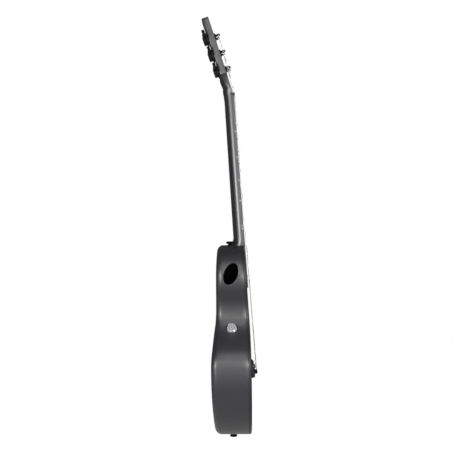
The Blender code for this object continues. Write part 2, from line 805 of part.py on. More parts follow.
def make_neck():
    seat = BOARD_THICKNESS + SEAT_GAP
    heel_z = SHOULDER_Z + SEAT_GAP
    flare_z = heel_z + HEEL_FLARE_LENGTH
    rings = []
    for height, half_width, depth in VOLUTE_SECTIONS:
        back = head_back_x(height) - depth
        rings.append(neck_section(height, back + HEAD_THICKNESS * VOLUTE_FRONT_SHARE, back, half_width))
    for share, extra in NECK_SECTIONS:
        z = flare_z * share
        growth = (NECK_THICKNESS_AT_HEEL - NECK_THICKNESS_AT_NUT) * max(share, 0.0)
        thickness = NECK_THICKNESS_AT_NUT + growth + extra
        half_width = board_half_width(max(-z, 0.0))
        rings.append(neck_section(z, below_board(z, seat), below_board(z, thickness), half_width))
    for share in HEEL_SHARES:
        z = flare_z - HEEL_FLARE_LENGTH * share
        thickness = NECK_THICKNESS_AT_HEEL + HEEL_FLARE * share * share
        rings.append(neck_section(z, below_board(z, seat), below_board(z, thickness), board_half_width(-z)))
    neck = loft("neck", rings, "shell")
    fuse(neck, headstock_slab())
    return neck


def headstock_slab():
    """The plain headstock: straight top with small corners and a flare down to the nut."""
    root = NUT_WIDTH / 2 + HEAD_ROOT_CLEAR
    widest = HEAD_HALF_WIDTH
    flare = cubic(Vector((root, HEAD_START)), Vector((root + HEAD_FLARE_PULL, HEAD_FLARE_START)),
                  Vector((widest - HEAD_FLARE_PULL, HEAD_FLARE_TURN)), Vector((widest, HEAD_FLARE_END)), 6)
    right = flare + [Vector((widest, HEAD_FLARE_END)), Vector((widest, HEAD_TAPER_START)),
                     Vector((HEAD_TOP_HALF_WIDTH, HEAD_LENGTH - HEAD_CORNER_DROP)),
                     Vector((HEAD_TOP_HALF_WIDTH - HEAD_CORNER_WIDTH, HEAD_LENGTH))]
    outline = [(point.x, point.y) for point in right]
    outline += [(-point.x, point.y) for point in reversed(right)]
    # The outline is drawn in XY; XY goes to YZ, so that the slab is thick along X.
    stand = Matrix(((0.0, 0.0, 1.0, 0.0), (1.0, 0.0, 0.0, 0.0), (0.0, 1.0, 0.0, 0.0), (0.0, 0.0, 0.0, 1.0)))
    middle = Matrix.Translation((-HEAD_THICKNESS / 2, 0.0, 0.0))
    slab = plate("headstock_slab", outline, HEAD_THICKNESS, HEAD_FRAME @ middle @ stand)
    bevel = slab.modifiers.new("edge", "BEVEL")
    bevel.width = HEAD_EDGE
    bevel.segments = 1
    bevel.limit_method = "ANGLE"
    bevel.angle_limit = math.radians(50.0)
    return slab


def fret_distance(number):
    return SCALE_LENGTH * (1.0 - 2.0 ** (-number / 12.0))


def make_fretboard():
    """The tapered board, with a pocket for each side dot."""
    outline = []
    for along in (0.0, BOARD_LENGTH):
        half_width = board_half_width(along)
        outline.append((along, half_width))
        outline.append((along, -half_width))
    outline = [outline[0], outline[1], outline[3], outline[2]]
    rings = []
    for x in (0.0, -BOARD_THICKNESS):
        rings.append([Vector((x, y, -along)) for along, y in outline])
    board = loft("fretboard", rings, "board", NECK_FRAME)
    fuse(board, fret_wires())
    cut(board, dot_pockets())


def fret_wires():
    """The fret wires, pressed a little way into the board's face."""
    members = []
    for number in range(1, FRET_COUNT + 1):
        along = fret_distance(number)
        half_width = board_half_width(along) - SEAT_GAP
        rings = []
        for y in (-half_width, half_width):
            rings.append([Vector((rise * FRET_HEIGHT, y, -along + reach * FRET_WIDTH))
                          for reach, rise in FRET_SECTION])
        members.append(loft("fret", rings, None, NECK_FRAME))
    return group("fret_wires", members)


def dot_places():
    """Where the side dots sit along the board."""
    places = []
    for number in DOT_FRETS:
        middle = (fret_distance(number - 1) + fret_distance(number)) / 2
        if number == DOUBLE_DOT_FRET:
            places += [middle - DOUBLE_DOT_SPACING / 2, middle + DOUBLE_DOT_SPACING / 2]
        else:
            places.append(middle)
    return places


def dot_pockets():
    """Shallow pockets for the side dots, in the bass edge of the fretboard."""
    pockets = []
    for along in dot_places():
        edge = -board_half_width(along)
        seat = Matrix.Translation((-BOARD_THICKNESS * DOT_SHARE, edge, -along))
        frame = NECK_FRAME @ seat @ Z_TO_Y
        pockets.append(rod("pocket", DOT_RADIUS, -0.001, DOT_DEPTH, frame, None, steps=TINY_STEPS))
    return group("dot_pockets", pockets)


def string_nut_y(number):
    return (3.5 - number) * NUT_SPREAD / (STRING_COUNT - 1)


def string_saddle_y(number):
    return (3.5 - number) * SADDLE_SPREAD / (STRING_COUNT - 1)


def make_nut():
    """The nut on the neck's seat, with a slot for each string."""
    low = (-BOARD_THICKNESS, -NUT_WIDTH / 2, SEAT_GAP)
    high = (NUT_RISE, NUT_WIDTH / 2, NUT_LENGTH - SEAT_GAP)
    nut = box("nut", low, high, NECK_FRAME, "black")
    slots = []
    for number, radius in enumerate(STRING_RADII, start=1):
        y = string_nut_y(number)
        half_width = radius + SEAT_GAP
        slot_low = (NUT_SLOT_RISE, y - half_width, -0.002)
        slot_high = (NUT_RISE + 0.002, y + half_width, NUT_LENGTH + 0.002)
        slots.append(box("slot", slot_low, slot_high, NECK_FRAME))
    cut(nut, group("nut_slots", slots))
    return nut


# Bridge, drawn about the saddle's foot with local +X out of the soundboard and +Z towards the neck

def bridge_frame():
    low = SADDLE_Z - BRIDGE_BELOW_SADDLE
    high = SADDLE_Z + BRIDGE_ABOVE_SADDLE
    slope = math.atan((top_x(low) - top_x(high)) / (high - low))
    foot = Vector((top_x(SADDLE_Z) + SEAT_GAP, 0.0, SADDLE_Z))
    return Matrix.Translation(foot) @ Matrix.Rotation(-slope, 4, "Y")


BRIDGE_FRAME = bridge_frame()


def key_holes(name):
    """For each string, a pin hole with a slot towards the saddle for the string."""
    neck_angle = math.asin(STRING_SLOT_HALF_WIDTH / PIN_HOLE_RADIUS)
    outline = []
    arc_steps = 8
    for index in range(arc_steps + 1):
        turn = neck_angle + (2 * math.pi - 2 * neck_angle) * index / arc_steps
        outline.append((PIN_HOLE_RADIUS * math.sin(turn), PIN_HOLE_RADIUS * math.cos(turn)))
    outline.append((-STRING_SLOT_HALF_WIDTH, STRING_SLOT_REACH))
    outline.append((STRING_SLOT_HALF_WIDTH, STRING_SLOT_REACH))
    stand = Matrix(((0.0, 0.0, 1.0, 0.0), (1.0, 0.0, 0.0, 0.0), (0.0, 1.0, 0.0, 0.0), (0.0, 0.0, 0.0, 1.0)))
    holes = []
    for number in range(1, STRING_COUNT + 1):
        seat = Matrix.Translation((0.0, string_saddle_y(number), -PIN_BEHIND_SADDLE))
        holes.append(plate("key_hole", outline, CUT_THROUGH, BRIDGE_FRAME @ seat @ stand))
    return group(name, holes)


def make_bridge(holes):
    """A flat bar with a long front chamfer, the saddle slot and the pin holes."""
    low = -BRIDGE_BELOW_SADDLE
    high = BRIDGE_ABOVE_SADDLE
    side = ((0.0, low), (BRIDGE_HEIGHT - BRIDGE_CHAMFER * 0.6, low),
            (BRIDGE_HEIGHT, low + BRIDGE_CHAMFER * 0.45), (BRIDGE_HEIGHT, high - BRIDGE_CHAMFER),
            (BRIDGE_HEIGHT - BRIDGE_CHAMFER, high), (0.0, high))
    end = BRIDGE_WIDTH / 2
    rings = []
    for y, share in ((-end, BRIDGE_END_SHARE), (-end + BRIDGE_END_SLOPE, 1.0),
                     (end - BRIDGE_END_SLOPE, 1.0), (end, BRIDGE_END_SHARE)):
        rings.append([Vector((x * share, y, z)) for x, z in side])
    bridge = loft("bridge", rings, "black", BRIDGE_FRAME)
    slot_half = SADDLE_THICKNESS / 2 + FIT_GAP
    slot_width = SADDLE_WIDTH / 2 + FIT_GAP
    floor = BRIDGE_HEIGHT - SADDLE_SLOT_DEPTH
    slot = box("saddle_slot", (floor, -slot_width, -slot_half), (CUT_THROUGH, slot_width, slot_half),
               BRIDGE_FRAME)
    cut(bridge, slot)
    cut(bridge, holes)
    return bridge


def saddle_top():
    """Height of the saddle's top over the bridge's foot: the strings rest a gap above it."""
    peak = NECK_FRAME @ Vector((SADDLE_RISE, 0.0, -SCALE_LENGTH))
    return (BRIDGE_FRAME.inverted() @ peak).x


def make_saddle():
    floor = BRIDGE_HEIGHT - SADDLE_SLOT_DEPTH + SEAT_GAP + PICKUP_THICKNESS + SEAT_GAP
    half = SADDLE_THICKNESS / 2
    top = saddle_top()
    side = ((floor, -half), (top - SADDLE_CROWN, -half), (top, -half * SADDLE_FLAT_SHARE),
            (top, half * SADDLE_FLAT_SHARE), (top - SADDLE_CROWN, half), (floor, half))
    rings = []
    for y in (-SADDLE_WIDTH / 2, SADDLE_WIDTH / 2):
        rings.append([Vector((x, y, z)) for x, z in side])
    return loft("saddle", rings, "bone", BRIDGE_FRAME)


def make_pickup():
    floor = BRIDGE_HEIGHT - SADDLE_SLOT_DEPTH + SEAT_GAP
    half = SADDLE_THICKNESS / 2 - 0.0001
    low = (floor, -SADDLE_WIDTH / 2, -half)
    high = (floor + PICKUP_THICKNESS, SADDLE_WIDTH / 2, half)
    return box("saddle_pickup", low, high, BRIDGE_FRAME, "brass")


def make_bridge_pins():
    for number in range(1, STRING_COUNT + 1):
        seat = Matrix.Translation((BRIDGE_HEIGHT + SEAT_GAP, string_saddle_y(number), -PIN_BEHIND_SADDLE))
        profile = ((0.0, PIN_HEAD_HEIGHT), (PIN_HEAD_RADIUS * 0.65, PIN_HEAD_HEIGHT * 0.85),
                   (PIN_HEAD_RADIUS, PIN_HEAD_HEIGHT * 0.45), (PIN_HEAD_RADIUS * 0.9, 0.0),
                   (PIN_RADIUS, 0.0), (PIN_RADIUS * 0.85, -PIN_LENGTH), (0.0, -PIN_LENGTH))
        turned(f"bridge_pin_{number}", profile, BRIDGE_FRAME @ seat @ Z_TO_X, "black", steps=TINY_STEPS)


def make_bridge_plate(holes):
    front = -SEAT_GAP * 3 - TOP_THICKNESS
    low = (front - PLATE_THICKNESS, -PLATE_WIDTH / 2, -BRIDGE_BELOW_SADDLE)
    high = (front, PLATE_WIDTH / 2, PLATE_LENGTH - BRIDGE_BELOW_SADDLE)
    bridge_plate = box("bridge_plate", low, high, BRIDGE_FRAME, "wood")
    cut(bridge_plate, holes)
    return bridge_plate


# Tuners

def post_place(number):
    """Side and row of a string's post: the outer strings take the posts nearest the nut."""
    bass = number > POSTS_PER_SIDE
    side = -1.0 if bass else 1.0
    row = STRING_COUNT - number if bass else number - 1
    return side, POST_FIRST + POST_PITCH * row


def post_frame(number):
    side, up = post_place(number)
    return HEAD_FRAME @ Matrix.Translation((0.0, side * POST_OFFSET, up)) @ Z_TO_X


def worm_frame(number):
    """On the button's axis, with local +Z out of the headstock's side."""
    side, up = post_place(number)
    centre = (HEAD_BACK - WORM_DEPTH, side * POST_OFFSET, up + WORM_OFFSET)
    spin = Z_TO_Y if side > 0 else Z_TO_Y.inverted()
    return HEAD_FRAME @ Matrix.Translation(centre) @ spin


def make_post(number):
    """String post and worm wheel in one turning piece."""
    wheel_low = HEAD_BACK - WORM_DEPTH - WHEEL_THICKNESS / 2
    wheel_high = wheel_low + WHEEL_THICKNESS
    hub = POST_RADIUS
    profile = ((0.0, POST_HEIGHT), (hub * 0.75, POST_HEIGHT - 0.0003), (hub, POST_HEIGHT - 0.0012),
               (POST_WAIST_RADIUS, WAIST_HIGH), (POST_WAIST_RADIUS, WAIST_LOW + 0.0004),
               (hub, WAIST_LOW), (hub, wheel_low), (0.0, wheel_low))
    post = turned(f"tuner_post_{number}", profile, post_frame(number), "black_metal", steps=SMALL_STEPS)
    outline = []
    for index in range(2 * WHEEL_TEETH):
        radius = WHEEL_RADIUS - (WHEEL_TOOTH if index % 2 else 0.0)
        turn = math.pi * index / WHEEL_TEETH
        outline.append((radius * math.cos(turn), radius * math.sin(turn)))
    middle = Matrix.Translation((0.0, 0.0, (wheel_low + wheel_high) / 2))
    wheel = plate(f"wheel_{number}", outline, WHEEL_THICKNESS, post_frame(number) @ middle)
    fuse(post, wheel)
    return post


def make_bushing(number):
    """Domed front nut and sleeve through the headstock, down into the housing's roof."""
    foot = HEAD_BACK - HOUSING_ROOF * 0.7
    profile = ((BUSH_BORE, BUSH_DOME), (BUSH_RADIUS, BUSH_DOME * 0.95), (BUSH_FLANGE, BUSH_DOME * 0.3),
               (BUSH_FLANGE, SEAT_GAP), (BUSH_RADIUS, SEAT_GAP), (BUSH_RADIUS, foot), (BUSH_BORE, foot))
    return turned(f"bushing_{number}", profile, post_frame(number), None, steps=SMALL_STEPS, ring=True)


def make_button(number):
    """Flat oval button, shaft and worm in one turning piece."""
    frame = worm_frame(number)
    half = WORM_LENGTH / 2
    neck = WORM_SHAFT_RADIUS
    profile = ((0.0, BUTTON_START + BUTTON_SHAFT_SINK), (neck, BUTTON_START + BUTTON_SHAFT_SINK),
               (neck, half), (WORM_RADIUS, half), (WORM_RADIUS, -half), (0.0, -half))
    button = turned(f"tuner_button_{number}", profile, frame, "black", steps=SMALL_STEPS)
    low = (-BUTTON_THICKNESS / 2, -BUTTON_WIDTH / 2, BUTTON_START)
    high = (BUTTON_THICKNESS / 2, BUTTON_WIDTH / 2, BUTTON_START + BUTTON_LENGTH)
    grip = box(f"grip_{number}", low, high, frame)
    bevel = grip.modifiers.new("edge", "BEVEL")
    bevel.width = BUTTON_EDGE
    bevel.segments = 2
    fuse(button, grip)
    return button


def make_housing(number):
    """Die-cast housing behind the headstock, hollow for the worm and wheel, with one screw lug."""
    side, up = post_place(number)
    frame = HEAD_FRAME @ Matrix.Translation((HEAD_BACK, side * POST_OFFSET, up))
    low = (-HOUSING_DEPTH, -HOUSING_HALF_WIDTH, HOUSING_BOTTOM)
    high = (0.0, HOUSING_HALF_WIDTH, HOUSING_TOP)
    housing = box(f"tuner_housing_{number}", low, high, frame, "black_metal")
    lug = box(f"lug_{number}",
              (-HOUSING_LUG_THICKNESS, -HOUSING_LUG_HALF_WIDTH, HOUSING_BOTTOM - HOUSING_LUG),
              (0.0, HOUSING_LUG_HALF_WIDTH, HOUSING_BOTTOM + HOUSING_WALL * 0.5), frame)
    fuse(housing, lug)
    inner = HOUSING_HALF_WIDTH - HOUSING_WALL
    cavity = box(f"cavity_{number}", (-HOUSING_DEPTH + HOUSING_WALL, -inner, HOUSING_BOTTOM + HOUSING_WALL),
                 (-HOUSING_ROOF, inner, HOUSING_TOP - HOUSING_WALL), frame)
    cut(housing, cavity)
    bore = rod(f"roof_bore_{number}", BUSH_BORE, HEAD_BACK - HOUSING_ROOF - 0.001, HEAD_BACK + 0.001,
               post_frame(number), None, SMALL_STEPS)
    cut(housing, bore)
    fuse(housing, make_bushing(number))
    shaft_hole = rod(f"shaft_hole_{number}", WORM_SHAFT_RADIUS + TURN_GAP, inner - 0.001,
                     HOUSING_HALF_WIDTH + 0.001, worm_frame(number), None, SMALL_STEPS)
    cut(housing, shaft_hole)
    fuse(housing, make_tuner_screw(number))


def screw_frame(number):
    """On the housing screw's axis, with local +Z into the headstock, from its back face."""
    side, up = post_place(number)
    below = up + HOUSING_BOTTOM - HOUSING_LUG / 2
    return HEAD_FRAME @ Matrix.Translation((-HEAD_THICKNESS, side * POST_OFFSET, below)) @ Z_TO_X


def make_tuner_screw(number):
    """Small screw through the housing's lug, joined to the housing."""
    under_head = -HOUSING_LUG_THICKNESS - SEAT_GAP + 0.0002
    head_top = under_head - TUNER_SCREW_HEAD_HEIGHT
    profile = ((0.0, TUNER_SCREW_LENGTH), (TUNER_SCREW_RADIUS, TUNER_SCREW_LENGTH - 0.001),
               (TUNER_SCREW_RADIUS, under_head), (TUNER_SCREW_HEAD, under_head),
               (TUNER_SCREW_HEAD * 0.7, head_top), (0.0, head_top))
    return turned(f"screw_{number}", profile, screw_frame(number), None, steps=TINY_STEPS)


def drill_headstock(neck):
    """Holes for the sleeves and posts, and for the housing screws."""
    holes = []
    for number in range(1, STRING_COUNT + 1):
        frame = post_frame(number)
        holes.append(rod("post_hole", BUSH_RADIUS + FIT_GAP, -0.03, 0.01, frame, None, SMALL_STEPS))
        depth = TUNER_SCREW_LENGTH + SEAT_GAP
        holes.append(rod("pilot", TUNER_SCREW_RADIUS + FIT_GAP, -0.002, depth, screw_frame(number), None,
                         TINY_STEPS))
    cut(neck, group("headstock_holes", holes))


def make_tuners():
    for make in (make_housing, make_button, make_post):
        for number in range(1, STRING_COUNT + 1):
            make(number)


# Strings

def winding(number, radius, nut_point):
    """The string's turns round its post in the headstock's frame, from where it arrives to its end."""
    side, up = post_place(number)
    coil_radius = POST_WAIST_RADIUS + SEAT_GAP + radius
    to_post = Vector((side * (side * POST_OFFSET - nut_point.y), up - nut_point.z))
    heading = math.atan2(to_post.y, to_post.x) + math.asin(coil_radius / to_post.length)
    first = heading + math.pi / 2
    pitch = 2 * radius + WINDING_GAP
    height = WAIST_HIGH - radius - SEAT_GAP
    points = []
    for index in range(round(WINDING_TURNS * LOOP_POINTS) + 1):
        share = index / LOOP_POINTS
        turn = first - 2 * math.pi * share
        y = side * (POST_OFFSET + coil_radius * math.cos(turn))
        points.append(Vector((height - pitch * share, y, up + coil_radius * math.sin(turn))))
    return points


def string_route(number, radius):
    """Ball end, key hole, saddle, nut and post, as world points."""
    lift = radius + SEAT_GAP
    y = string_saddle_y(number)
    hole_z = STRING_FROM_PIN - PIN_BEHIND_SADDLE
    ball_top = -SEAT_GAP * 4 - TOP_THICKNESS - PLATE_THICKNESS
    top = saddle_top() + lift
    bridge_points = [(ball_top - BALL_LENGTH, hole_z), (ball_top - 0.0004, hole_z), (ball_top, hole_z),
                     (BRIDGE_HEIGHT * 0.9, hole_z), (BRIDGE_HEIGHT + 0.0008, hole_z + 0.0004),
                     (top - 0.0010, -SADDLE_THICKNESS / 2 - 0.0004), (top, -SADDLE_THICKNESS / 4),
                     (top, 0.0006)]
    route = [BRIDGE_FRAME @ Vector((x, y, z)) for x, z in bridge_points]
    nut_y = string_nut_y(number)
    nut_height = NUT_SLOT_RISE + lift
    back = Vector((nut_height, nut_y, NUT_LENGTH - 0.001))
    to_head = HEAD_FRAME.inverted() @ NECK_FRAME
    turns = winding(number, radius, to_head @ back)
    route.append(NECK_FRAME @ Vector((nut_height, nut_y, 0.0003)))
    route.append(NECK_FRAME @ back)
    return route, [HEAD_FRAME @ point for point in turns]


def smooth_route(points, spacing):
    """Points at about even spacing on a smooth curve through the given ones."""
    padded = [points[0] * 2 - points[1]] + points + [points[-1] * 2 - points[-2]]
    route = []
    for before, start, end, after in zip(padded, padded[1:], padded[2:], padded[3:]):
        steps = max(2, round((end - start).length / spacing))
        for step in range(steps):
            t = step / steps
            pull = (end - before) * t + (before * 2 - start * 5 + end * 4 - after) * t ** 2
            route.append(start + (pull + (start * 3 - before - end * 3 + after) * t ** 3) / 2)
    return route + [points[-1]]


def least_gap(route, turns, radius):
    """Least distance between the surfaces of the winding's turns, and of the turns and the incoming run."""
    apart = LOOP_POINTS // 2
    least = math.inf
    for index, point in enumerate(turns):
        for other in turns[index + apart:]:
            least = min(least, (point - other).length)
    start = turns[0]
    span = route[-1] - start
    samples = [start + span * (step / 200) for step in range(201)]
    for point in turns[apart:]:
        for sample in samples:
            least = min(least, (point - sample).length)
    return least - 2 * radius


def make_strings():
    for number, radius in enumerate(STRING_RADII, start=1):
        route, turns = string_route(number, radius)
        gap = least_gap(route, turns, radius)
        print(f"string_{number} least gap to itself {gap * 1000:.2f} mm")
        ball = BALL_RADIUS / radius
        tube(f"string_{number}", route + turns, radius, "steel", 1, {0: ball, 1: ball})


# Fixings, blocks and truss rod

def make_truss_rod(neck, shell):
    """A rod in a channel under the fretboard, with a nut reached by a key from inside the body."""
    axis = NECK_FRAME @ Matrix.Translation((-ROD_DEPTH, 0.0, 0.0)) @ Z_DOWN
    rod("truss_rod", ROD_RADIUS, ROD_START, ROD_END, axis, "steel", SMALL_STEPS)
    nut_start = ROD_END + SEAT_GAP
    rod("truss_rod_nut", ROD_NUT_RADIUS, nut_start, nut_start + ROD_NUT_LENGTH, axis, "brass", 6)
    half = ROD_CHANNEL_WIDTH / 2
    channel = box("rod_channel", (-ROD_DEPTH - half, -half, -SHOULDER_DROP - CUT_PAST),
                  (-BOARD_THICKNESS + 0.001, half, -ROD_START + SEAT_GAP), NECK_FRAME)
    cut(neck, channel)
    key_hole = rod("key_hole", KEY_HOLE_RADIUS, SHOULDER_DROP - CUT_PAST, SHOULDER_DROP + CUT_PAST, axis,
                   None)
    cut(shell, key_hole)


def make_neck_joint(neck, shell):
    """Block inside the shoulder and two bolts through it into the heel."""
    outer = SHOULDER_Z - WALL - SEAT_GAP
    inner = outer - NECK_BLOCK_LENGTH
    half = NECK_BLOCK_WIDTH / 2
    block = box("neck_block", (-NECK_BLOCK_BACK, -half, inner), (NECK_BLOCK_FRONT, half, outer),
                Matrix(), "wood")
    holes = []
    for number, side in enumerate((-1.0, 1.0), start=1):
        frame = Matrix.Translation((BOLT_X, side * BOLT_OFFSET, 0.0))
        seat = inner - SEAT_GAP
        tip = SHOULDER_Z + BOLT_GRIP
        profile = ((0.0, tip), (BOLT_RADIUS, tip), (BOLT_RADIUS, seat), (BOLT_HEAD_RADIUS, seat),
                   (BOLT_HEAD_RADIUS, seat - BOLT_HEAD_LENGTH), (0.0, seat - BOLT_HEAD_LENGTH))
        turned(f"heel_bolt_{number}", profile, frame, "steel", steps=SMALL_STEPS)
        holes.append(rod("bolt_hole", BOLT_RADIUS + FIT_GAP, inner - 0.01, tip + SEAT_GAP, frame, None,
                         SMALL_STEPS))
    bolt_holes = group("bolt_holes", holes)
    for piece in (neck, shell, block):
        cut(piece, bolt_holes)
    return block


def make_strap_button(name, matrix):
    """A mushroom button on a foot, with its screw; local +Z points away from the body."""
    height = STRAP_HEIGHT
    profile = ((0.0, height + STRAP_CROWN), (STRAP_HEAD_RADIUS * 0.4, height + STRAP_CROWN),
               (STRAP_HEAD_RADIUS * 0.7, height), (STRAP_HEAD_RADIUS, height * 0.82),
               (STRAP_HEAD_RADIUS, height * 0.72), (STRAP_STEM_RADIUS, height * 0.45),
               (STRAP_FOOT_RADIUS, height * 0.1), (STRAP_FOOT_RADIUS, SEAT_GAP),
               (STRAP_SCREW_RADIUS, SEAT_GAP), (STRAP_SCREW_RADIUS, -STRAP_SCREW_LENGTH + 0.003),
               (0.0, -STRAP_SCREW_LENGTH))
    turned(name, profile, matrix, "black", steps=ROUND_STEPS)


def make_strap_buttons(shell, neck_block, end_block):
    neck_frame = Matrix.Translation((NECK_STRAP_X, NECK_STRAP_Y, SHOULDER_Z))
    end_frame = Matrix.Translation((END_STRAP_X, 0.0, BODY_END_Z)) @ Z_DOWN
    make_strap_button("neck_strap_button", neck_frame)
    make_strap_button("end_strap_button", end_frame)
    holes = []
    for frame in (neck_frame, end_frame):
        holes.append(rod("strap_hole", STRAP_SCREW_RADIUS + FIT_GAP, -STRAP_SCREW_LENGTH - SEAT_GAP, 0.002,
                         frame, None, SMALL_STEPS))
    strap_holes = group("strap_holes", holes)
    for piece in (shell, neck_block, end_block):
        cut(piece, strap_holes)


def make_end_block():
    inner_wall = BODY_END_Z + WALL + SEAT_GAP
    half = END_BLOCK_WIDTH / 2
    return box("end_block", (-END_BLOCK_BACK, -half, inner_wall),
               (END_BLOCK_FRONT, half, inner_wall + END_BLOCK_LENGTH), Matrix(), "wood")


# Electronics

def knob_frame():
    return wall_frame(bass_wall(SHOULDER_Z - KNOB_DROP), KNOB_X)


def jack_frame():
    return wall_frame(end_wall(JACK_Y), JACK_X)


def make_control(shell):
    """Silver knob on the shaft of a potentiometer that is clamped through the wall."""
    frame = knob_frame()
    recess = rod("knob_recess", KNOB_RECESS_RADIUS, -KNOB_RECESS_DEPTH, CUT_PAST, frame, None, KNOB_STEPS)
    cut(shell, recess)
    cut(shell, rod("pot_hole", POT_BUSH_RADIUS + FIT_GAP, -CUT_PAST, CUT_PAST, frame))
    seat = -KNOB_RECESS_DEPTH
    nut_top = seat + SEAT_GAP + POT_NUT_THICKNESS
    back = -WALL - SEAT_GAP
    shaft_top = nut_top + POT_SHAFT_REACH
    shaft_low = back - POT_BODY_LENGTH + POT_SHAFT_START
    bush_top = seat + POT_BUSH_REACH
    bore = POT_SHAFT_RADIUS + TURN_GAP
    pot = ((bore, bush_top), (POT_BUSH_RADIUS, bush_top), (POT_BUSH_RADIUS, back), (POT_BODY_RADIUS, back),
           (POT_BODY_RADIUS, back - POT_BODY_LENGTH), (bore, back - POT_BODY_LENGTH))
    turned("potentiometer", pot, frame, "steel", ring=True)
    hex_nut("pot_nut", POT_BUSH_RADIUS + FIT_GAP, POT_NUT_RADIUS, seat + SEAT_GAP, nut_top, frame, "steel")
    rod("pot_shaft", POT_SHAFT_RADIUS, shaft_low, shaft_top, frame, "steel")
    socket = POT_SHAFT_RADIUS + FIT_GAP
    hollow = POT_NUT_RADIUS + KNOB_NUT_CLEAR
    hollow_top = shaft_top - KNOB_GRIP
    knob = ((0.0, KNOB_HEIGHT), (KNOB_FACE_RADIUS, KNOB_HEIGHT),
            (KNOB_FACE_RADIUS + KNOB_RIM_WIDTH, KNOB_HEIGHT - KNOB_RIM_DROP), (KNOB_RADIUS, KNOB_CLEAR),
            (hollow, KNOB_CLEAR), (hollow, hollow_top), (socket, hollow_top), (socket, shaft_top + SEAT_GAP),
            (0.0, shaft_top + SEAT_GAP))
    turned("control_knob", knob, frame, "knob", steps=KNOB_STEPS)
    width, height, depth = PREAMP_SIZE
    front = back - POT_BODY_LENGTH - SEAT_GAP
    box("preamp", (-width / 2, -height / 2, front - depth), (width / 2, height / 2, front), frame, "plastic")


def preamp_entry(x):
    """Where a lead comes off the preamp's inner face: its last two points."""
    width, height, depth = PREAMP_SIZE
    face = -WALL - SEAT_GAP - POT_BODY_LENGTH - SEAT_GAP - depth
    frame = knob_frame()
    return [frame @ Vector((x, 0.0, face - LEAD_RUN_OUT)), frame @ Vector((x, 0.0, face - SEAT_GAP))]


def make_pickup_lead(bridge, soundboard, bridge_plate):
    """From under the pickup, through bridge, soundboard and plate, to the preamp."""
    y = -SADDLE_WIDTH / 2 + LEAD_FROM_SADDLE_END
    floor = BRIDGE_HEIGHT - SADDLE_SLOT_DEPTH
    below = -TOP_THICKNESS - PLATE_THICKNESS
    hole = rod("lead_hole", LEAD_HOLE_RADIUS, below - 0.006, floor + 0.001,
               BRIDGE_FRAME @ Matrix.Translation((0.0, y, 0.0)) @ Z_TO_X, None, SMALL_STEPS)
    for piece in (bridge, soundboard, bridge_plate):
        cut(piece, hole)
    start = [BRIDGE_FRAME @ Vector((x, y, 0.0)) for x in (floor, below / 2, below - 0.001, below - 0.005)]
    route = [Vector((x, y, SADDLE_Z + z)) for x, y, z in PICKUP_LEAD_ROUTE]
    points = smooth_route(start + route + preamp_entry(PICKUP_LEAD_X), LEAD_POINT_SPACING)
    tube("pickup_lead", points, LEAD_RADIUS, "plastic", 2)


def make_jack_lead():
    """From the jack's inner end, along the inside of the back, to the preamp."""
    inner = -JACK_LENGTH - SEAT_GAP
    frame = jack_frame()
    route = [frame @ Vector((0.0, 0.0, inner)),
             frame @ Vector((-JACK_LEAD_DIP, 0.0, inner - JACK_LEAD_START))]
    route += [Vector((x, y, BODY_END_Z + z)) for x, y, z in JACK_LEAD_ROUTE]
    points = smooth_route(route + preamp_entry(JACK_LEAD_X), LEAD_POINT_SPACING)
    tube("jack_lead", points, LEAD_RADIUS, "plastic", 2)


def make_battery():
    """Battery in an open tray on the inside of the back, at the lower bout."""
    z = SHOULDER_Z - LOWER_BOUT_DROP
    floor = back_x(z) + WALL + SEAT_GAP + HOLDER_PAD
    frame = Matrix.Translation((floor, BATTERY_Y, z))
    thick, wide, tall = BATTERY_SIZE
    clear = SEAT_GAP
    half_wide = wide / 2 + clear + HOLDER_WALL
    half_tall = tall / 2 + clear + HOLDER_WALL
    tray = box("battery_tray", (0.0, -half_wide, -half_tall),
               (HOLDER_WALL + HOLDER_RIM, half_wide, half_tall), frame, "plastic")
    pocket = box("tray_pocket", (HOLDER_WALL, -wide / 2 - clear, -tall / 2 - clear),
                 (CUT_THROUGH, wide / 2 + clear, tall / 2 + clear), frame)
    cut(tray, pocket)
    low = (HOLDER_WALL + clear, -wide / 2, -tall / 2)
    high = (HOLDER_WALL + clear + thick, wide / 2, tall / 2)
    box("battery", low, high, frame, "battery")


def make_jack(shell):
    """Output socket, flush in the end of the body, with its nut against the inside of the wall."""
    frame = jack_frame()
    flange_seat = -JACK_FLANGE_THICKNESS
    inner = -JACK_LENGTH
    profile = ((JACK_BORE, 0.0), (JACK_FLANGE_RADIUS, 0.0), (JACK_FLANGE_RADIUS, flange_seat),
               (JACK_RADIUS, flange_seat), (JACK_RADIUS, inner), (0.0, inner), (0.0, -JACK_BORE_DEPTH),
               (JACK_BORE, -JACK_BORE_DEPTH))
    turned("output_jack", profile, frame, "steel", ring=True)
    cut(shell, rod("jack_recess", JACK_FLANGE_RADIUS + FIT_GAP, flange_seat - SEAT_GAP, CUT_PAST, frame))
    cut(shell, rod("jack_hole", JACK_RADIUS + FIT_GAP, -CUT_PAST, CUT_PAST, frame))
    inside = -WALL - SEAT_GAP * 2
    hex_nut("jack_nut", JACK_RADIUS + FIT_GAP, JACK_NUT_RADIUS, inside - JACK_NUT_THICKNESS, inside, frame,
            "steel")


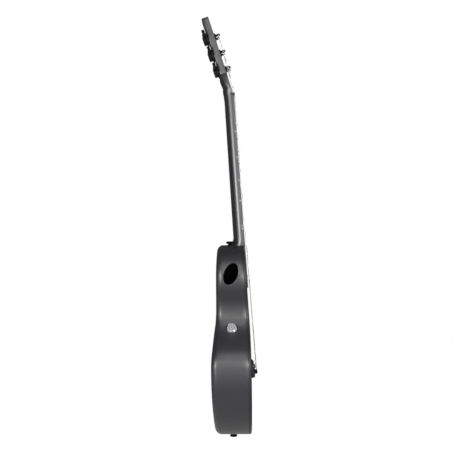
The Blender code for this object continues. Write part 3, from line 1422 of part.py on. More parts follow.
def main():
    shell = make_body_shell()
    soundboard = make_soundboard()
    holes = key_holes("key_holes")
    cut(soundboard, holes)
    make_bracing()
    neck = make_neck()
    drill_headstock(neck)
    make_fretboard()
    make_nut()
    bridge = make_bridge(holes)
    make_saddle()
    make_pickup()
    make_bridge_pins()
    bridge_plate = make_bridge_plate(holes)
    make_tuners()
    make_strings()
    make_truss_rod(neck, shell)
    neck_block = make_neck_joint(neck, shell)
    end_block = make_end_block()
    make_strap_buttons(shell, neck_block, end_block)
    make_control(shell)
    make_battery()
    make_jack(shell)
    make_pickup_lead(bridge, soundboard, bridge_plate)
    make_jack_lead()


main()
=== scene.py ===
import math
import bmesh
import bpy
from mathutils import Matrix, Vector


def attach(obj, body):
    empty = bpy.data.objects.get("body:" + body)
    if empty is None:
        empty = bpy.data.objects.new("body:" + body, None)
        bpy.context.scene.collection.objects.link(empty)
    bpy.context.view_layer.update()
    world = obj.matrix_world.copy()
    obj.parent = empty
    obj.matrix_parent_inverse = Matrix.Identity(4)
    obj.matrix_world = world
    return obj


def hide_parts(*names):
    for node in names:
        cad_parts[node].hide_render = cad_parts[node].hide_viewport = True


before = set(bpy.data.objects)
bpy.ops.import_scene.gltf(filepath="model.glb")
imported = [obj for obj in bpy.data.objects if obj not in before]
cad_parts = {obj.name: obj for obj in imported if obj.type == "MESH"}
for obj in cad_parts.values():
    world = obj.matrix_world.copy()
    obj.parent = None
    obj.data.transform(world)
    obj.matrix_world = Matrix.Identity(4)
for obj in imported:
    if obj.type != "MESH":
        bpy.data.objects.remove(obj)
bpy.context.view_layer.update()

for startup in ("Cube", "Light", "Camera"):
    if startup in bpy.data.objects:
        bpy.data.objects.remove(bpy.data.objects[startup], do_unlink=True)

guitar = {
    "scaleLength": 0.600,
    "neckAngle": math.radians(4.25),
    "headAngle": math.radians(18.3),
    "headDrop": 0.0018,
    "headThickness": 0.015,
    "nutLength": 0.005,
    "nutWidth": 0.043,
    "boardLength": 0.424,
    "boardEndWidth": 0.0557,
    "boardThickness": 0.0055,
    "shoulderZ": -0.331,
    "gap": 0.0003,
}
gap = guitar["gap"]
neckFrame = Matrix.Rotation(-guitar["neckAngle"], 4, "Y")
headRoot = neckFrame @ Vector((-guitar["headDrop"], 0.0, guitar["nutLength"]))
headFrame = Matrix.Translation(headRoot) @ Matrix.Rotation(-guitar["headAngle"], 4, "Y")
turnToX = Matrix.Rotation(math.pi / 2, 4, "Y")
turnToY = Matrix.Rotation(-math.pi / 2, 4, "X")
turnDown = Matrix.Rotation(math.pi, 4, "X")


# Finishes

finishes = {
    "shellSatin": dict(colour=(0.012, 0.012, 0.014), roughness=0.42, specular=0.62, grain=900,
                       bump=0.05, cloud=14, spread=0.14, wear=0.08),
    "topSatin": dict(colour=(0.010, 0.010, 0.011), roughness=0.46, specular=0.40, grain=900,
                     bump=0.05, cloud=14, spread=0.14, wear=0.08),
    "neckSatin": dict(colour=(0.010, 0.010, 0.012), roughness=0.34, specular=0.76, grain=1100,
                      bump=0.05, cloud=18, spread=0.14, wear=0.08),
    "boardStone": dict(colour=(0.026, 0.026, 0.030), roughness=0.42, specular=0.55, grain=700,
                       bump=0.08, cloud=30, spread=0.30, wear=0.08, stretch=0.08),
    "dotWhite": dict(colour=(0.72, 0.72, 0.70), roughness=0.35, grain=900, bump=0.01, cloud=40,
                     spread=0.03),
    "glossBlack": dict(colour=(0.003, 0.003, 0.004), roughness=0.22, specular=0.03, grain=1500,
                       bump=0.01, cloud=40, spread=0.15, wear=0.02),
    "bridgeBlack": dict(colour=(0.006, 0.006, 0.007), roughness=0.36, specular=0.25, grain=900,
                        bump=0.06, cloud=30, spread=0.20, wear=0.04, stretch=0.15),
    "castBlack": dict(colour=(0.004, 0.004, 0.005), roughness=0.28, specular=0.04, grain=1800,
                      bump=0.04, cloud=60, spread=0.20, wear=0.03),
    "fretSteel": dict(colour=(0.50, 0.50, 0.50), roughness=0.24, grain=2500, bump=0.02, cloud=90,
                      spread=0.06, metallic=1.0),
    "plainSteel": dict(colour=(0.50, 0.50, 0.51), roughness=0.30, grain=1500, bump=0.03, cloud=60,
                       spread=0.10, metallic=1.0, wear=0.10),
    "knobSilver": dict(colour=(0.80, 0.80, 0.82), roughness=0.24, grain=1800, bump=0.01, cloud=50,
                       spread=0.03, metallic=1.0),
    "boneWhite": dict(colour=(0.66, 0.65, 0.61), roughness=0.38, grain=700, bump=0.03, cloud=60,
                      spread=0.05, stretch=0.2),
    "brassPlain": dict(colour=(0.62, 0.45, 0.20), roughness=0.32, grain=1500, bump=0.02, cloud=60,
                       spread=0.12, metallic=1.0, wear=0.10),
    "darkPlastic": dict(colour=(0.035, 0.035, 0.036), roughness=0.50, grain=1500, bump=0.06,
                        cloud=60, spread=0.12, wear=0.08),
    "batteryCan": dict(colour=(0.12, 0.13, 0.15), roughness=0.35, grain=1200, bump=0.02, cloud=60,
                       spread=0.08, metallic=0.6, wear=0.10),
    "blockWood": dict(colour=(0.42, 0.26, 0.13), roughness=0.55, grain=500, bump=0.10, cloud=60,
                      spread=0.32, stretch=0.06, wear=0.06),
    "stringPlain": dict(colour=(0.62, 0.62, 0.63), roughness=0.28, grain=3000, bump=0.02,
                        cloud=120, spread=0.08, metallic=1.0),
    "stringWound": dict(colour=(0.52, 0.50, 0.47), roughness=0.32, grain=3000, bump=0.02,
                        cloud=120, spread=0.08, metallic=1.0, wrap=1050.0),
}


surface = {
    "cloudDetail": 4.0,
    "grainDetail": 2.0,
    "grainDepth": 0.0002,
    "wrapDepth": 0.0001,
    "wrapStrength": 0.6,
    "roughSwing": (0.88, 1.12),
    "wornFrom": 0.53,
    "wornTo": 0.62,
    "wornColour": (0.30, 0.30, 0.31, 1.0),
}


def addNode(owner, kind, inputs=None, **values):
    node = owner.node_tree.nodes.new(kind)
    for key, value in values.items():
        setattr(node, key, value)
    for socket, value in (inputs or {}).items():
        node.inputs[socket].default_value = value
    return node


def join(owner, *ties):
    # each tie is a node, its output, the node that it feeds and that one's input
    for giver, output, taker, socket in ties:
        owner.node_tree.links.new(giver.outputs[output], taker.inputs[socket])


def addCloud(material, place, scale, stretch, detail):
    # noise in the piece's own space, drawn out along Z where stretch is below 1
    spread = addNode(material, "ShaderNodeMapping", {"Scale": (1.0, 1.0, stretch)})
    noise = addNode(material, "ShaderNodeTexNoise", {"Scale": scale, "Detail": detail})
    join(material, (place, "Object", spread, "Vector"), (spread, "Vector", noise, "Vector"))
    return noise


def addWear(material, tone, amount):
    # edges rubbed a little paler than the faces
    edge = addNode(material, "ShaderNodeNewGeometry")
    band = addNode(material, "ShaderNodeMapRange",
                   {"From Min": surface["wornFrom"], "From Max": surface["wornTo"], "To Max": amount})
    rubbed = addNode(material, "ShaderNodeMix", {"B": surface["wornColour"]}, data_type="RGBA")
    join(material, (edge, "Pointiness", band, "Value"), (band, "Result", rubbed, "Factor"),
         (tone, "Result", rubbed, "A"))
    return rubbed


def makeFinish(name, look):
    material = bpy.data.materials.new(name)
    material.use_nodes = True
    shader = material.node_tree.nodes["Principled BSDF"]
    shader.inputs["Metallic"].default_value = look.get("metallic", 0.0)
    shader.inputs["Specular IOR Level"].default_value = look.get("specular", 0.5)
    place = addNode(material, "ShaderNodeTexCoord")
    stretch, spread = look.get("stretch", 1.0), look["spread"]
    cloud = addCloud(material, place, look["cloud"], stretch, surface["cloudDetail"])
    dark = (*[c * (1.0 - spread) for c in look["colour"]], 1.0)
    pale = (*[min(c * (1.0 + spread), 1.0) for c in look["colour"]], 1.0)
    tone = addNode(material, "ShaderNodeMix", {"A": dark, "B": pale}, data_type="RGBA")
    join(material, (cloud, "Fac", tone, "Factor"))
    if "wear" in look:
        tone = addWear(material, tone, look["wear"])
    smoother, rougher = [look["roughness"] * swing for swing in surface["roughSwing"]]
    polish = addNode(material, "ShaderNodeMapRange", {"To Min": smoother, "To Max": rougher})
    grain = addCloud(material, place, look["grain"], stretch, surface["grainDetail"])
    bump = addNode(material, "ShaderNodeBump", {"Strength": look["bump"], "Distance": surface["grainDepth"]})
    join(material, (tone, "Result", shader, "Base Color"), (cloud, "Fac", polish, "Value"),
         (polish, "Result", shader, "Roughness"), (grain, "Fac", bump, "Height"),
         (bump, "Normal", shader, "Normal"))
    if "wrap" in look:
        turns = addNode(material, "ShaderNodeTexWave", {"Scale": look["wrap"]}, bands_direction="Z")
        ridge = addNode(material, "ShaderNodeBump",
                        {"Strength": surface["wrapStrength"], "Distance": surface["wrapDepth"]})
        join(material, (place, "Object", turns, "Vector"), (turns, "Fac", ridge, "Height"),
             (bump, "Normal", ridge, "Normal"), (ridge, "Normal", shader, "Normal"))
    return material


paint = {name: makeFinish(name, look) for name, look in finishes.items()}
print("finishes ready")


# Shaping helpers

weldReach = 0.000002


def meshFrom(bm, name, matrix=None, weld=weldReach):
    # puts the shape in place, joins its doubled places and turns its faces outward
    if matrix is not None:
        bmesh.ops.transform(bm, matrix=matrix, verts=bm.verts)
    bmesh.ops.remove_doubles(bm, verts=bm.verts, dist=weld)
    bmesh.ops.recalc_face_normals(bm, faces=bm.faces)
    mesh = bpy.data.meshes.new(name)
    bm.to_mesh(mesh)
    bm.free()
    return mesh


def shade(mesh, sharp):
    mesh.shade_smooth()
    mesh.set_sharp_from_angle(angle=math.radians(sharp))


def addObject(name, data):
    thing = bpy.data.objects.new(name, data)
    bpy.context.scene.collection.objects.link(thing)
    return thing


def addPiece(bm, name, finish, body="guitar", stands=(), sharp=32.0, matrix=None, weld=weldReach):
    mesh = meshFrom(bm, name, matrix, weld)
    shade(mesh, sharp)
    mesh.materials.append(paint[finish])
    piece = addObject(name, mesh)
    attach(piece, body)
    if stands:
        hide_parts(*stands)
    return piece


def makeCutter(bm, matrix=None):
    cutter = addObject("cutter", meshFrom(bm, "cutter", matrix))
    cutter.hide_render = True
    return cutter


def carve(piece, cutters, sharp=32.0, operation="DIFFERENCE"):
    # works each cutter into the piece, keeps the result as its mesh and clears the cutters away
    for cutter in cutters:
        step = piece.modifiers.new("carve", "BOOLEAN")
        step.operation = operation
        step.object = cutter
    bpy.context.view_layer.update()
    shaped = piece.evaluated_get(bpy.context.evaluated_depsgraph_get())
    mesh = bpy.data.meshes.new_from_object(shaped)
    piece.modifiers.clear()
    piece.data = mesh
    shade(mesh, sharp)
    for cutter in cutters:
        bpy.data.objects.remove(cutter, do_unlink=True)


def soften(bm, edges, width, segments):
    bmesh.ops.bevel(bm, geom=edges, offset=width, affect="EDGES", segments=segments, profile=0.5,
                    material=-1)


def drawRow(bm, row, places):
    # pulls the next row out of the last one and sets it on its places
    members = set(row)
    edges = [edge for edge in {edge for vert in row for edge in vert.link_edges}
             if edge.verts[0] in members and edge.verts[1] in members]
    pulled = bmesh.ops.extrude_edge_only(bm, edges=edges)["geom"]
    fresh = {part for part in pulled if isinstance(part, bmesh.types.BMVert)}
    following = [next(edge.other_vert(vert) for edge in vert.link_edges if edge.other_vert(vert) in fresh)
                 for vert in row]
    for vert, place in zip(following, places):
        vert.co = place
    return following


def loftRows(rows, ends="caps"):
    # rows of places round the piece; ends is caps, points or ring
    bm = bmesh.new()
    row = bmesh.ops.create_circle(bm, segments=len(rows[0]), radius=1.0)["verts"]
    for vert, place in zip(row, rows[0]):
        vert.co = place
    first = row
    for places in rows[1:]:
        row = drawRow(bm, row, places)
    if ends == "ring":
        drawRow(bm, row, rows[0])
    if ends == "points":
        for last in (first, row):
            middle = sum((vert.co for vert in last), Vector()) / len(last)
            drawRow(bm, last, [middle] * len(last))
    if ends == "caps":
        for last in (first, row):
            bm.faces.new(last)
    return bm


def turnProfile(profile, steps=48, close=False):
    # a profile of (radius, height) places turned about Z
    bm = bmesh.new()
    verts = [bm.verts.new((radius, 0.0, height)) for radius, height in profile]
    edges = [bm.edges.new(pair) for pair in zip(verts, verts[1:])]
    if close:
        edges.append(bm.edges.new((verts[-1], verts[0])))
    bmesh.ops.spin(bm, geom=verts + edges, cent=(0.0, 0.0, 0.0), axis=(0.0, 0.0, 1.0), dvec=(0.0, 0.0, 0.0),
                   angle=2 * math.pi, steps=steps, use_merge=True, use_normal_flip=False, use_duplicate=False)
    return bm


def roundedBox(low, high, edge=0.0, segments=3):
    low = Vector(low)
    high = Vector(high)
    bm = bmesh.new()
    bmesh.ops.create_cube(bm, size=1.0)
    bmesh.ops.scale(bm, vec=high - low, verts=bm.verts)
    bmesh.ops.translate(bm, vec=(low + high) / 2, verts=bm.verts)
    if edge:
        soften(bm, bm.edges[:], edge, segments)
    return bm


def slabFrom(outline, thickness):
    # a flat outline of (y, z) places, thick from x 0 back to -thickness
    bm = bmesh.new()
    row = bmesh.ops.create_circle(bm, segments=len(outline), radius=1.0)["verts"]
    for vert, (y, z) in zip(row, outline):
        vert.co = (0.0, y, z)
    face = bm.faces.new(row)
    pulled = bmesh.ops.extrude_face_region(bm, geom=[face])["geom"]
    bmesh.ops.translate(bm, vec=(-thickness, 0.0, 0.0),
                        verts=[part for part in pulled if isinstance(part, bmesh.types.BMVert)])
    return bm


def curvePlaces(first, second, third, fourth, count):
    places = []
    for index in range(count):
        t = index / count
        u = 1.0 - t
        places.append(first * u ** 3 + second * 3 * u * u * t + third * 3 * u * t * t + fourth * t ** 3)
    return places


def smoothThrough(points, steps):
    # evenly shared places on a smooth line through the given ones
    padded = [points[0] * 2 - points[1]] + points + [points[-1] * 2 - points[-2]]
    places = []
    for before, start, end, after in zip(padded, padded[1:], padded[2:], padded[3:]):
        for step in range(steps):
            t = step / steps
            pull = (end - before) * t + (before * 2 - start * 5 + end * 4 - after) * t ** 2
            places.append(start + (pull + (start * 3 - before - end * 3 + after) * t ** 3) / 2)
    return places + [points[-1]]


def fillIn(sections, reach):
    # more sections on the straight lines between the given ones, none further apart than reach
    filled = []
    for start, end in zip(sections, sections[1:]):
        count = max(1, math.ceil(abs(end[0] - start[0]) / reach))
        filled += [start.lerp(end, step / count) for step in range(count)]
    return filled + [sections[-1]]


def rod(radius, low, high, segments=32):
    bm = bmesh.new()
    bmesh.ops.create_cone(bm, cap_ends=True, segments=segments, radius1=radius, radius2=radius,
                          depth=high - low)
    bmesh.ops.translate(bm, vec=(0.0, 0.0, (low + high) / 2), verts=bm.verts)
    return bm


def addTo(bm, other, matrix=None):
    # puts a second shape into the first one's mesh
    if matrix is not None:
        bmesh.ops.transform(other, matrix=matrix, verts=other.verts)
    spare = bpy.data.meshes.new("spare")
    other.to_mesh(spare)
    other.free()
    bm.from_mesh(spare)
    bpy.data.meshes.remove(spare)
    return bm


def arc(centre, radius, start, end, steps):
    # places on a quarter or other round of a profile, angles in degrees
    turns = [math.radians(start + (end - start) * step / steps) for step in range(steps + 1)]
    return [(centre[0] + radius * math.cos(turn), centre[1] + radius * math.sin(turn)) for turn in turns]


# Body

body = {
    "length": 0.412,
    "shoulderFlat": 0.045,
    "endFlat": 0.014,
    "upperBout": (0.123, 0.065),
    "waist": (0.102, 0.141),
    "lowerBout": (0.168, 0.251),
    "roundHandle": 0.58,
    "waistHandle": 0.45,
    "curveSteps": (26, 18, 26, 34),
    "backDepths": (0.0358, 0.0388, 0.0386, 0.0487, 0.0385),
    "boardRise": 0.0037,
    "topBendDrop": 0.490,
    "topEndSlope": 0.018,
    "topBendLength": 0.022,
    "wall": 0.003,
    "backEdge": 0.012,
    "frontEdge": 0.0042,
    "seatEdge": 0.0008,
    "skirt": 0.0058,
    "rimWidth": 0.010,
    "rimThickness": 0.0025,
    "topThickness": 0.003,
    "soundholeRadius": 0.042,
    "soundholeZ": -0.4708,
    "portLength": 0.0476,
    "portWidth": 0.029,
    "portLean": math.radians(20.0),
    "portX": -0.0075,
    "portDrop": 0.058,
    "seamRound": 0.0005,
    "boardBlendY": 0.047,
    "boardBlendReach": 0.016,
    "boardBlendZ": -0.36,
    "holeRound": ((0.993, 0.0), (0.998, -0.0003), (1.0, -0.0008)),
    "faceSteps": 14,
    "portSteps": 96,
}
cutDeep = 0.02
cutClear = 0.01


def boardX(z):
    return -z * math.tan(guitar["neckAngle"])


def belowBoard(z, depth):
    return boardX(z) - depth / math.cos(guitar["neckAngle"])


def topX(z):
    past = -body["topBendDrop"] - z
    if past <= 0.0:
        return belowBoard(z, body["boardRise"])
    start = belowBoard(-body["topBendDrop"], body["boardRise"])
    bend = math.tan(guitar["neckAngle"]) - body["topEndSlope"]
    reach = body["topBendLength"]
    return start + body["topEndSlope"] * past + bend * reach * (1.0 - math.exp(-past / reach))


def backX(z):
    drop = min(max(guitar["shoulderZ"] - z, 0.0), body["length"])
    shoulder, upper, waist, lower, end = body["backDepths"]
    upperDrop, waistDrop, lowerDrop = body["upperBout"][1], body["waist"][1], body["lowerBout"][1]
    if drop < upperDrop:
        share = 1.0 - (1.0 - drop / upperDrop) ** 2
        return -(shoulder + (upper - shoulder) * share)
    if drop < waistDrop:
        share = (drop - upperDrop) / (waistDrop - upperDrop)
        return -(upper + (waist - upper) * share * share * (3.0 - 2.0 * share))
    if drop < lowerDrop:
        share = (drop - waistDrop) / (lowerDrop - waistDrop)
        return -(waist + (lower - waist) * share * share * (3.0 - 2.0 * share))
    share = ((drop - lowerDrop) / (body["length"] - lowerDrop)) ** 2
    return -(lower + (end - lower) * share)


def bodyOutline():
    top = Vector((body["shoulderFlat"], 0.0))
    upper, waist, lower = Vector(body["upperBout"]), Vector(body["waist"]), Vector(body["lowerBout"])
    bottom = Vector((body["endFlat"], body["length"]))
    across, down = Vector((1.0, 0.0)), Vector((0.0, 1.0))
    roundHandle, waistHandle = body["roundHandle"], body["waistHandle"]
    counts = body["curveSteps"]
    half = [top * (step / 8) for step in range(8)]
    reach = upper - top
    half += curvePlaces(top, top + across * reach.x * roundHandle, upper - down * reach.y * roundHandle,
                        upper, counts[0])
    pull = down * (waist.y - upper.y) * waistHandle
    half += curvePlaces(upper, upper + pull, waist - pull, waist, counts[1])
    pull = down * (lower.y - waist.y) * waistHandle
    half += curvePlaces(waist, waist + pull, lower - pull, lower, counts[2])
    reach = lower - bottom
    half += curvePlaces(lower, lower - down * reach.y * roundHandle,
                        bottom + across * reach.x * roundHandle, bottom, counts[3])
    half += [bottom, bottom - across * body["endFlat"] / 2, Vector((0.0, body["length"]))]
    right = [Vector((y, guitar["shoulderZ"] - drop)) for y, drop in half]
    return right + [Vector((-place.x, place.y)) for place in right[-2:0:-1]]


outline = bodyOutline()


def outwards(index):
    along = (outline[(index + 1) % len(outline)] - outline[index - 1]).normalized()
    return Vector((-along.y, along.x))


def insetRow(inset, depthAt):
    row = []
    for index, place in enumerate(outline):
        moved = place - outwards(index) * inset
        row.append(Vector((depthAt(moved.y), moved.x, moved.y)))
    return row


def shrunkRow(inset, share, depthAt):
    middle = guitar["shoulderZ"] - body["length"] / 2
    row = []
    for place in insetRow(inset, depthAt):
        z = middle + (place.z - middle) * share
        row.append(Vector((depthAt(z), place.y * share, z)))
    return row


def frontEdgeRow(turn):
    # the top's front edge, nearly square beside the fretboard and rounder elsewhere
    row = []
    for index, place in enumerate(outline):
        blend = min(max((abs(place.x) - body["boardBlendY"]) / body["boardBlendReach"], 0.0), 1.0)
        if place.y <= body["boardBlendZ"]:
            blend = 1.0
        blend = blend * blend * (3.0 - 2.0 * blend)
        radius = body["seatEdge"] + (body["frontEdge"] - body["seatEdge"]) * blend
        moved = place - outwards(index) * radius * (1.0 - math.cos(turn))
        row.append(Vector((topX(moved.y) - radius * (1.0 - math.sin(turn)), moved.x, moved.y)))
    return row


def sideWall(z):
    # the bass side at a height: its place and outward direction as (y, z)
    count = len(outline)
    for index in range(count // 2, count):
        here, after = outline[index], outline[(index + 1) % count]
        if here.y <= z <= after.y and after.y > here.y:
            along = (after - here).normalized()
            return here.lerp(after, (z - here.y) / (after.y - here.y)), Vector((-along.y, along.x))


def wallFrame(wall, x):
    place, out = wall
    out = Vector((0.0, out.x, out.y))
    across = Vector((1.0, 0.0, 0.0))
    turn = Matrix((across, out.cross(across), out)).transposed().to_4x4()
    return Matrix.Translation((x, place.x, place.y)) @ turn


def makeShell():
    rows = []
    for share in (0.06, 0.18, 0.35, 0.52, 0.66, 0.78, 0.87, 0.94):
        rows.append(shrunkRow(body["backEdge"], share, backX))
    for degrees in range(0, 91, 10):
        turn = math.radians(degrees)
        inset = body["backEdge"] * (1.0 - math.sin(turn))
        lift = body["backEdge"] * (1.0 - math.cos(turn))
        rows.append(insetRow(inset, lambda z, lift=lift: backX(z) + lift))
    seam = body["skirt"] + gap
    for share in (0.25, 0.5, 0.75):
        rows.append([low.lerp(high, share) for low, high in
                     zip(insetRow(0.0, lambda z: backX(z) + body["backEdge"]),
                         insetRow(0.0, lambda z: topX(z) - seam - body["seamRound"]))])
    rows.append(insetRow(0.0, lambda z: topX(z) - seam - body["seamRound"]))
    rows.append(insetRow(body["seamRound"] * 0.3, lambda z: topX(z) - seam - body["seamRound"] * 0.3))
    rows.append(insetRow(body["seamRound"], lambda z: topX(z) - seam))
    under = seam + body["rimThickness"]
    slant = (body["rimWidth"] - body["wall"]) / 2
    rows.append(insetRow(body["rimWidth"], lambda z: topX(z) - seam))
    rows.append(insetRow(body["rimWidth"], lambda z: topX(z) - under))
    rows.append(insetRow(body["wall"], lambda z: topX(z) - under - slant))
    innerEdge = body["backEdge"] - body["wall"]
    for degrees in (90, 60, 30, 0):
        turn = math.radians(degrees)
        inset = body["wall"] + innerEdge * (1.0 - math.sin(turn))
        lift = body["wall"] + innerEdge * (1.0 - math.cos(turn))
        rows.append(insetRow(inset, lambda z, lift=lift: backX(z) + lift))
    for share in (0.87, 0.6, 0.3, 0.06):
        rows.append(shrunkRow(body["backEdge"], share, lambda z: backX(z) + body["wall"]))
    return addPiece(loftRows(rows, "points"), "moulded_shell", "shellSatin",
                    stands=("body_shell",))


def portCutter():
    # an oval tool for the port that widens outwards, which rounds the port's lip
    wall, _ = sideWall(guitar["shoulderZ"] - body["portDrop"])
    spot = Matrix.Translation((body["portX"], wall.x, wall.y)) @ Matrix.Rotation(body["portLean"], 4, "Y")
    rounds = []
    for rise, grow in ((-cutDeep, 0.0), (-0.0013, 0.0), (-0.0008, 0.0002), (-0.0003, 0.0006), (0.0, 0.0013),
                       (cutDeep, 0.0013)):
        half, tall = body["portWidth"] / 2 + grow, body["portLength"] / 2 + grow
        turns = [2 * math.pi * step / body["portSteps"] for step in range(body["portSteps"])]
        rounds.append([Vector((half * math.cos(turn), -rise, tall * math.sin(turn))) for turn in turns])
    return makeCutter(loftRows(rounds), spot)


def shellCutters():
    knobSpot = knobFrame()
    jackSpot = jackFrame()
    tools = ((knob["recessRadius"], -knob["recessDepth"], cutDeep, knobSpot),
             (knob["bushRadius"] + gap, -cutDeep, cutClear, knobSpot),
             (jack["flangeRadius"] + gap, -jack["flange"] - gap, cutClear, jackSpot),
             (jack["radius"] + gap, -cutDeep, cutClear / 2, jackSpot))
    rods = [makeCutter(rod(radius, low, high, 64), spot) for radius, low, high, spot in tools]
    return [portCutter()] + rods


knob = {
    "drop": 0.174,
    "x": -0.0055,
    "radius": 0.0120,
    "faceRadius": 0.0098,
    "height": 0.0062,
    "edge": 0.0005,
    "recessRadius": 0.0132,
    "recessDepth": 0.0012,
    "bushRadius": 0.0045,
    "shaftRadius": 0.003,
    "nutRadius": 0.0070,
    "shaftTop": 0.0034,
    "hollowClear": 0.0008,
    "roofThickness": 0.0015,
    "lift": 0.0002,
}
jack = {
    "x": -0.0005,
    "y": 0.029,
    "flangeRadius": 0.0085,
    "flange": 0.0012,
    "radius": 0.006,
    "length": 0.030,
    "bore": 0.0034,
    "boreDepth": 0.027,
}


def endWall(y):
    for here, after in zip(outline, outline[1:]):
        if after.x <= y < here.x and here.y < guitar["shoulderZ"] - body["lowerBout"][1]:
            along = (after - here).normalized()
            return here.lerp(after, (here.x - y) / (here.x - after.x)), Vector((-along.y, along.x))


def knobFrame():
    return wallFrame(sideWall(guitar["shoulderZ"] - knob["drop"]), knob["x"])


def jackFrame():
    return wallFrame(endWall(jack["y"]), jack["x"])


shell = makeShell()
carve(shell, shellCutters())
print("shell made")


def makeTop():
    centre = Vector((0.0, body["soundholeZ"]))
    edge = insetRow(body["rimWidth"], topX)

    def faceRow(share, lift):
        row = []
        for place in edge:
            flat = Vector((place.y, place.z))
            rim = centre + (flat - centre).normalized() * body["soundholeRadius"]
            moved = flat.lerp(rim, share)
            row.append(Vector((topX(moved.y) + lift, moved.x, moved.y)))
        return row

    lip, skirt, thick = body["seamRound"], body["skirt"], body["topThickness"]
    rows = [insetRow(lip, lambda z: topX(z) - skirt),
            insetRow(lip * 0.3, lambda z: topX(z) - skirt + lip * 0.3),
            insetRow(0.0, lambda z: topX(z) - skirt + lip)]
    rows += [frontEdgeRow(math.radians(degrees)) for degrees in range(0, 91, 15)]
    shares = [step / body["faceSteps"] for step in range(body["faceSteps"])]
    rows += [faceRow(share, 0.0) for share in shares]
    rows += [faceRow(share, lift) for share, lift in body["holeRound"]]
    rows += [faceRow(share, -thick) for share in [1.0] + shares[::-1]]
    rows.append(insetRow(body["rimWidth"], lambda z: topX(z) - skirt))
    top = addPiece(loftRows(rows, "ring"), "top_plate", "topSatin",
                   stands=("soundboard",))
    half = guitar["boardEndWidth"] / 2 + gap
    seat = roundedBox((-guitar["boardThickness"] - gap, -half, -guitar["boardLength"] - gap),
                      (cutClear, half, guitar["shoulderZ"] + cutDeep))
    carve(top, [makeCutter(seat, neckFrame)])


makeTop()
print("top made")


# Neck, headstock and fretboard

neck = {
    "volute": ((0.055, 0.0195, -0.0012), (0.041, 0.0236, 0.0026), (0.028, 0.0227, 0.0048),
               (0.014, 0.0221, 0.0036)),
    "sections": ((-0.018, 0.0022), (0.0, 0.0012), (0.05, 0.0), (0.10, 0.0), (0.4, 0.0), (0.7, 0.0),
                 (1.0, 0.0)),
    "underHead": 0.0005,
    "sectionReach": 0.006,
    "channelHalf": 0.0035,
    "channelDepth": 0.015,
    "channelTop": 0.0137,
    "channelPast": 0.03,
    "channelLift": 0.001,
    "heelShares": (0.35, 0.7, 1.0),
    "thicknessAtNut": 0.0218,
    "thicknessAtHeel": 0.0245,
    "flare": 0.0095,
    "flareLength": 0.017,
    "bulge": 0.85,
    "headHalfWidth": 0.033,
    "headTopHalfWidth": 0.029,
    "headLength": 0.1743,
    "headEdge": 0.0009,
    "headEdgeAngle": math.radians(60.0),
    "headRoot": 0.0005,
    "headCurve": ((0.0, 0.0018), (0.0006, 0.018), (0.0014, 0.031)),
    "headCurveEnd": (0.0012, 0.0018),
    "headWideTo": 0.125,
    "headCorner": (0.003, 0.004),
    "postHole": (0.0047, -0.03, 0.01),
    "chinStart": 0.004,
    "chin": 0.0445,
    "roundBack": (0.85, 1.0),
    "squareBack": 0.13,
}


def boardHalfWidth(along):
    growth = (guitar["boardEndWidth"] - guitar["nutWidth"]) * along / guitar["boardLength"]
    return (guitar["nutWidth"] + growth) / 2


def neckRow(z, front, back, halfWidth, count=36):
    row = []
    for index in range(count + 1):
        turn = math.pi * index / count
        bulge = math.sin(turn) ** neck["bulge"] if 0 < index < count else 0.0
        row.append(Vector((front - (front - back) * bulge, -halfWidth * math.cos(turn), z)))
    return row


def headFrontX(z):
    return headRoot.x - (z - headRoot.z) * math.tan(guitar["headAngle"])


def headBackX(z):
    return headFrontX(z) - guitar["headThickness"] / math.cos(guitar["headAngle"])


def headRow(halfWidth, along, count=48):
    # rounded like the neck at the nut, square from the chin upwards
    share = min(max((along - neck["chinStart"]) / (neck["chin"] - neck["chinStart"]), 0.0), 1.0)
    deep, wide = [start + (neck["squareBack"] - start) * share for start in neck["roundBack"]]
    row = []
    for index in range(count + 1):
        turn = math.pi * index / count
        level = math.cos(turn) if index * 2 != count else 0.0
        depth = math.sin(turn) ** deep if 0 < index < count else 0.0
        reach = math.copysign(abs(level) ** wide, level) if level else 0.0
        row.append(Vector((-guitar["headThickness"] * depth, -halfWidth * reach, along)))
    return row


def makeNeck():
    seat = guitar["boardThickness"] + gap
    heelZ = guitar["shoulderZ"] + gap
    flareZ = heelZ + neck["flareLength"]
    sections = []

    def addSection(z, thickness):
        half = boardHalfWidth(max(-z, 0.0))
        sections.append(Vector((z, belowBoard(z, seat), belowBoard(z, thickness), half)))

    for height, halfWidth, depth in neck["volute"]:
        front, back = headFrontX(height) - neck["underHead"], headBackX(height) - depth
        sections.append(Vector((height, front, back, halfWidth)))
    for share, extra in neck["sections"]:
        z = flareZ * share
        growth = (neck["thicknessAtHeel"] - neck["thicknessAtNut"]) * max(share, 0.0)
        addSection(z, neck["thicknessAtNut"] + growth + extra)
    for share in neck["heelShares"]:
        thickness = neck["thicknessAtHeel"] + neck["flare"] * share * share
        addSection(flareZ - neck["flareLength"] * share, thickness)
    rows = [neckRow(*section) for section in smoothThrough(fillIn(sections, neck["sectionReach"]), 2)]
    shaft = addPiece(loftRows(rows), "neck_shaft", "neckSatin", stands=("neck",))
    half = neck["channelHalf"]
    channel = roundedBox((-neck["channelDepth"] - half, -half, guitar["shoulderZ"] - neck["channelPast"]),
                         (-guitar["boardThickness"] + neck["channelLift"], half, -neck["channelTop"]))
    carve(shaft, [makeCutter(channel, neckFrame)])


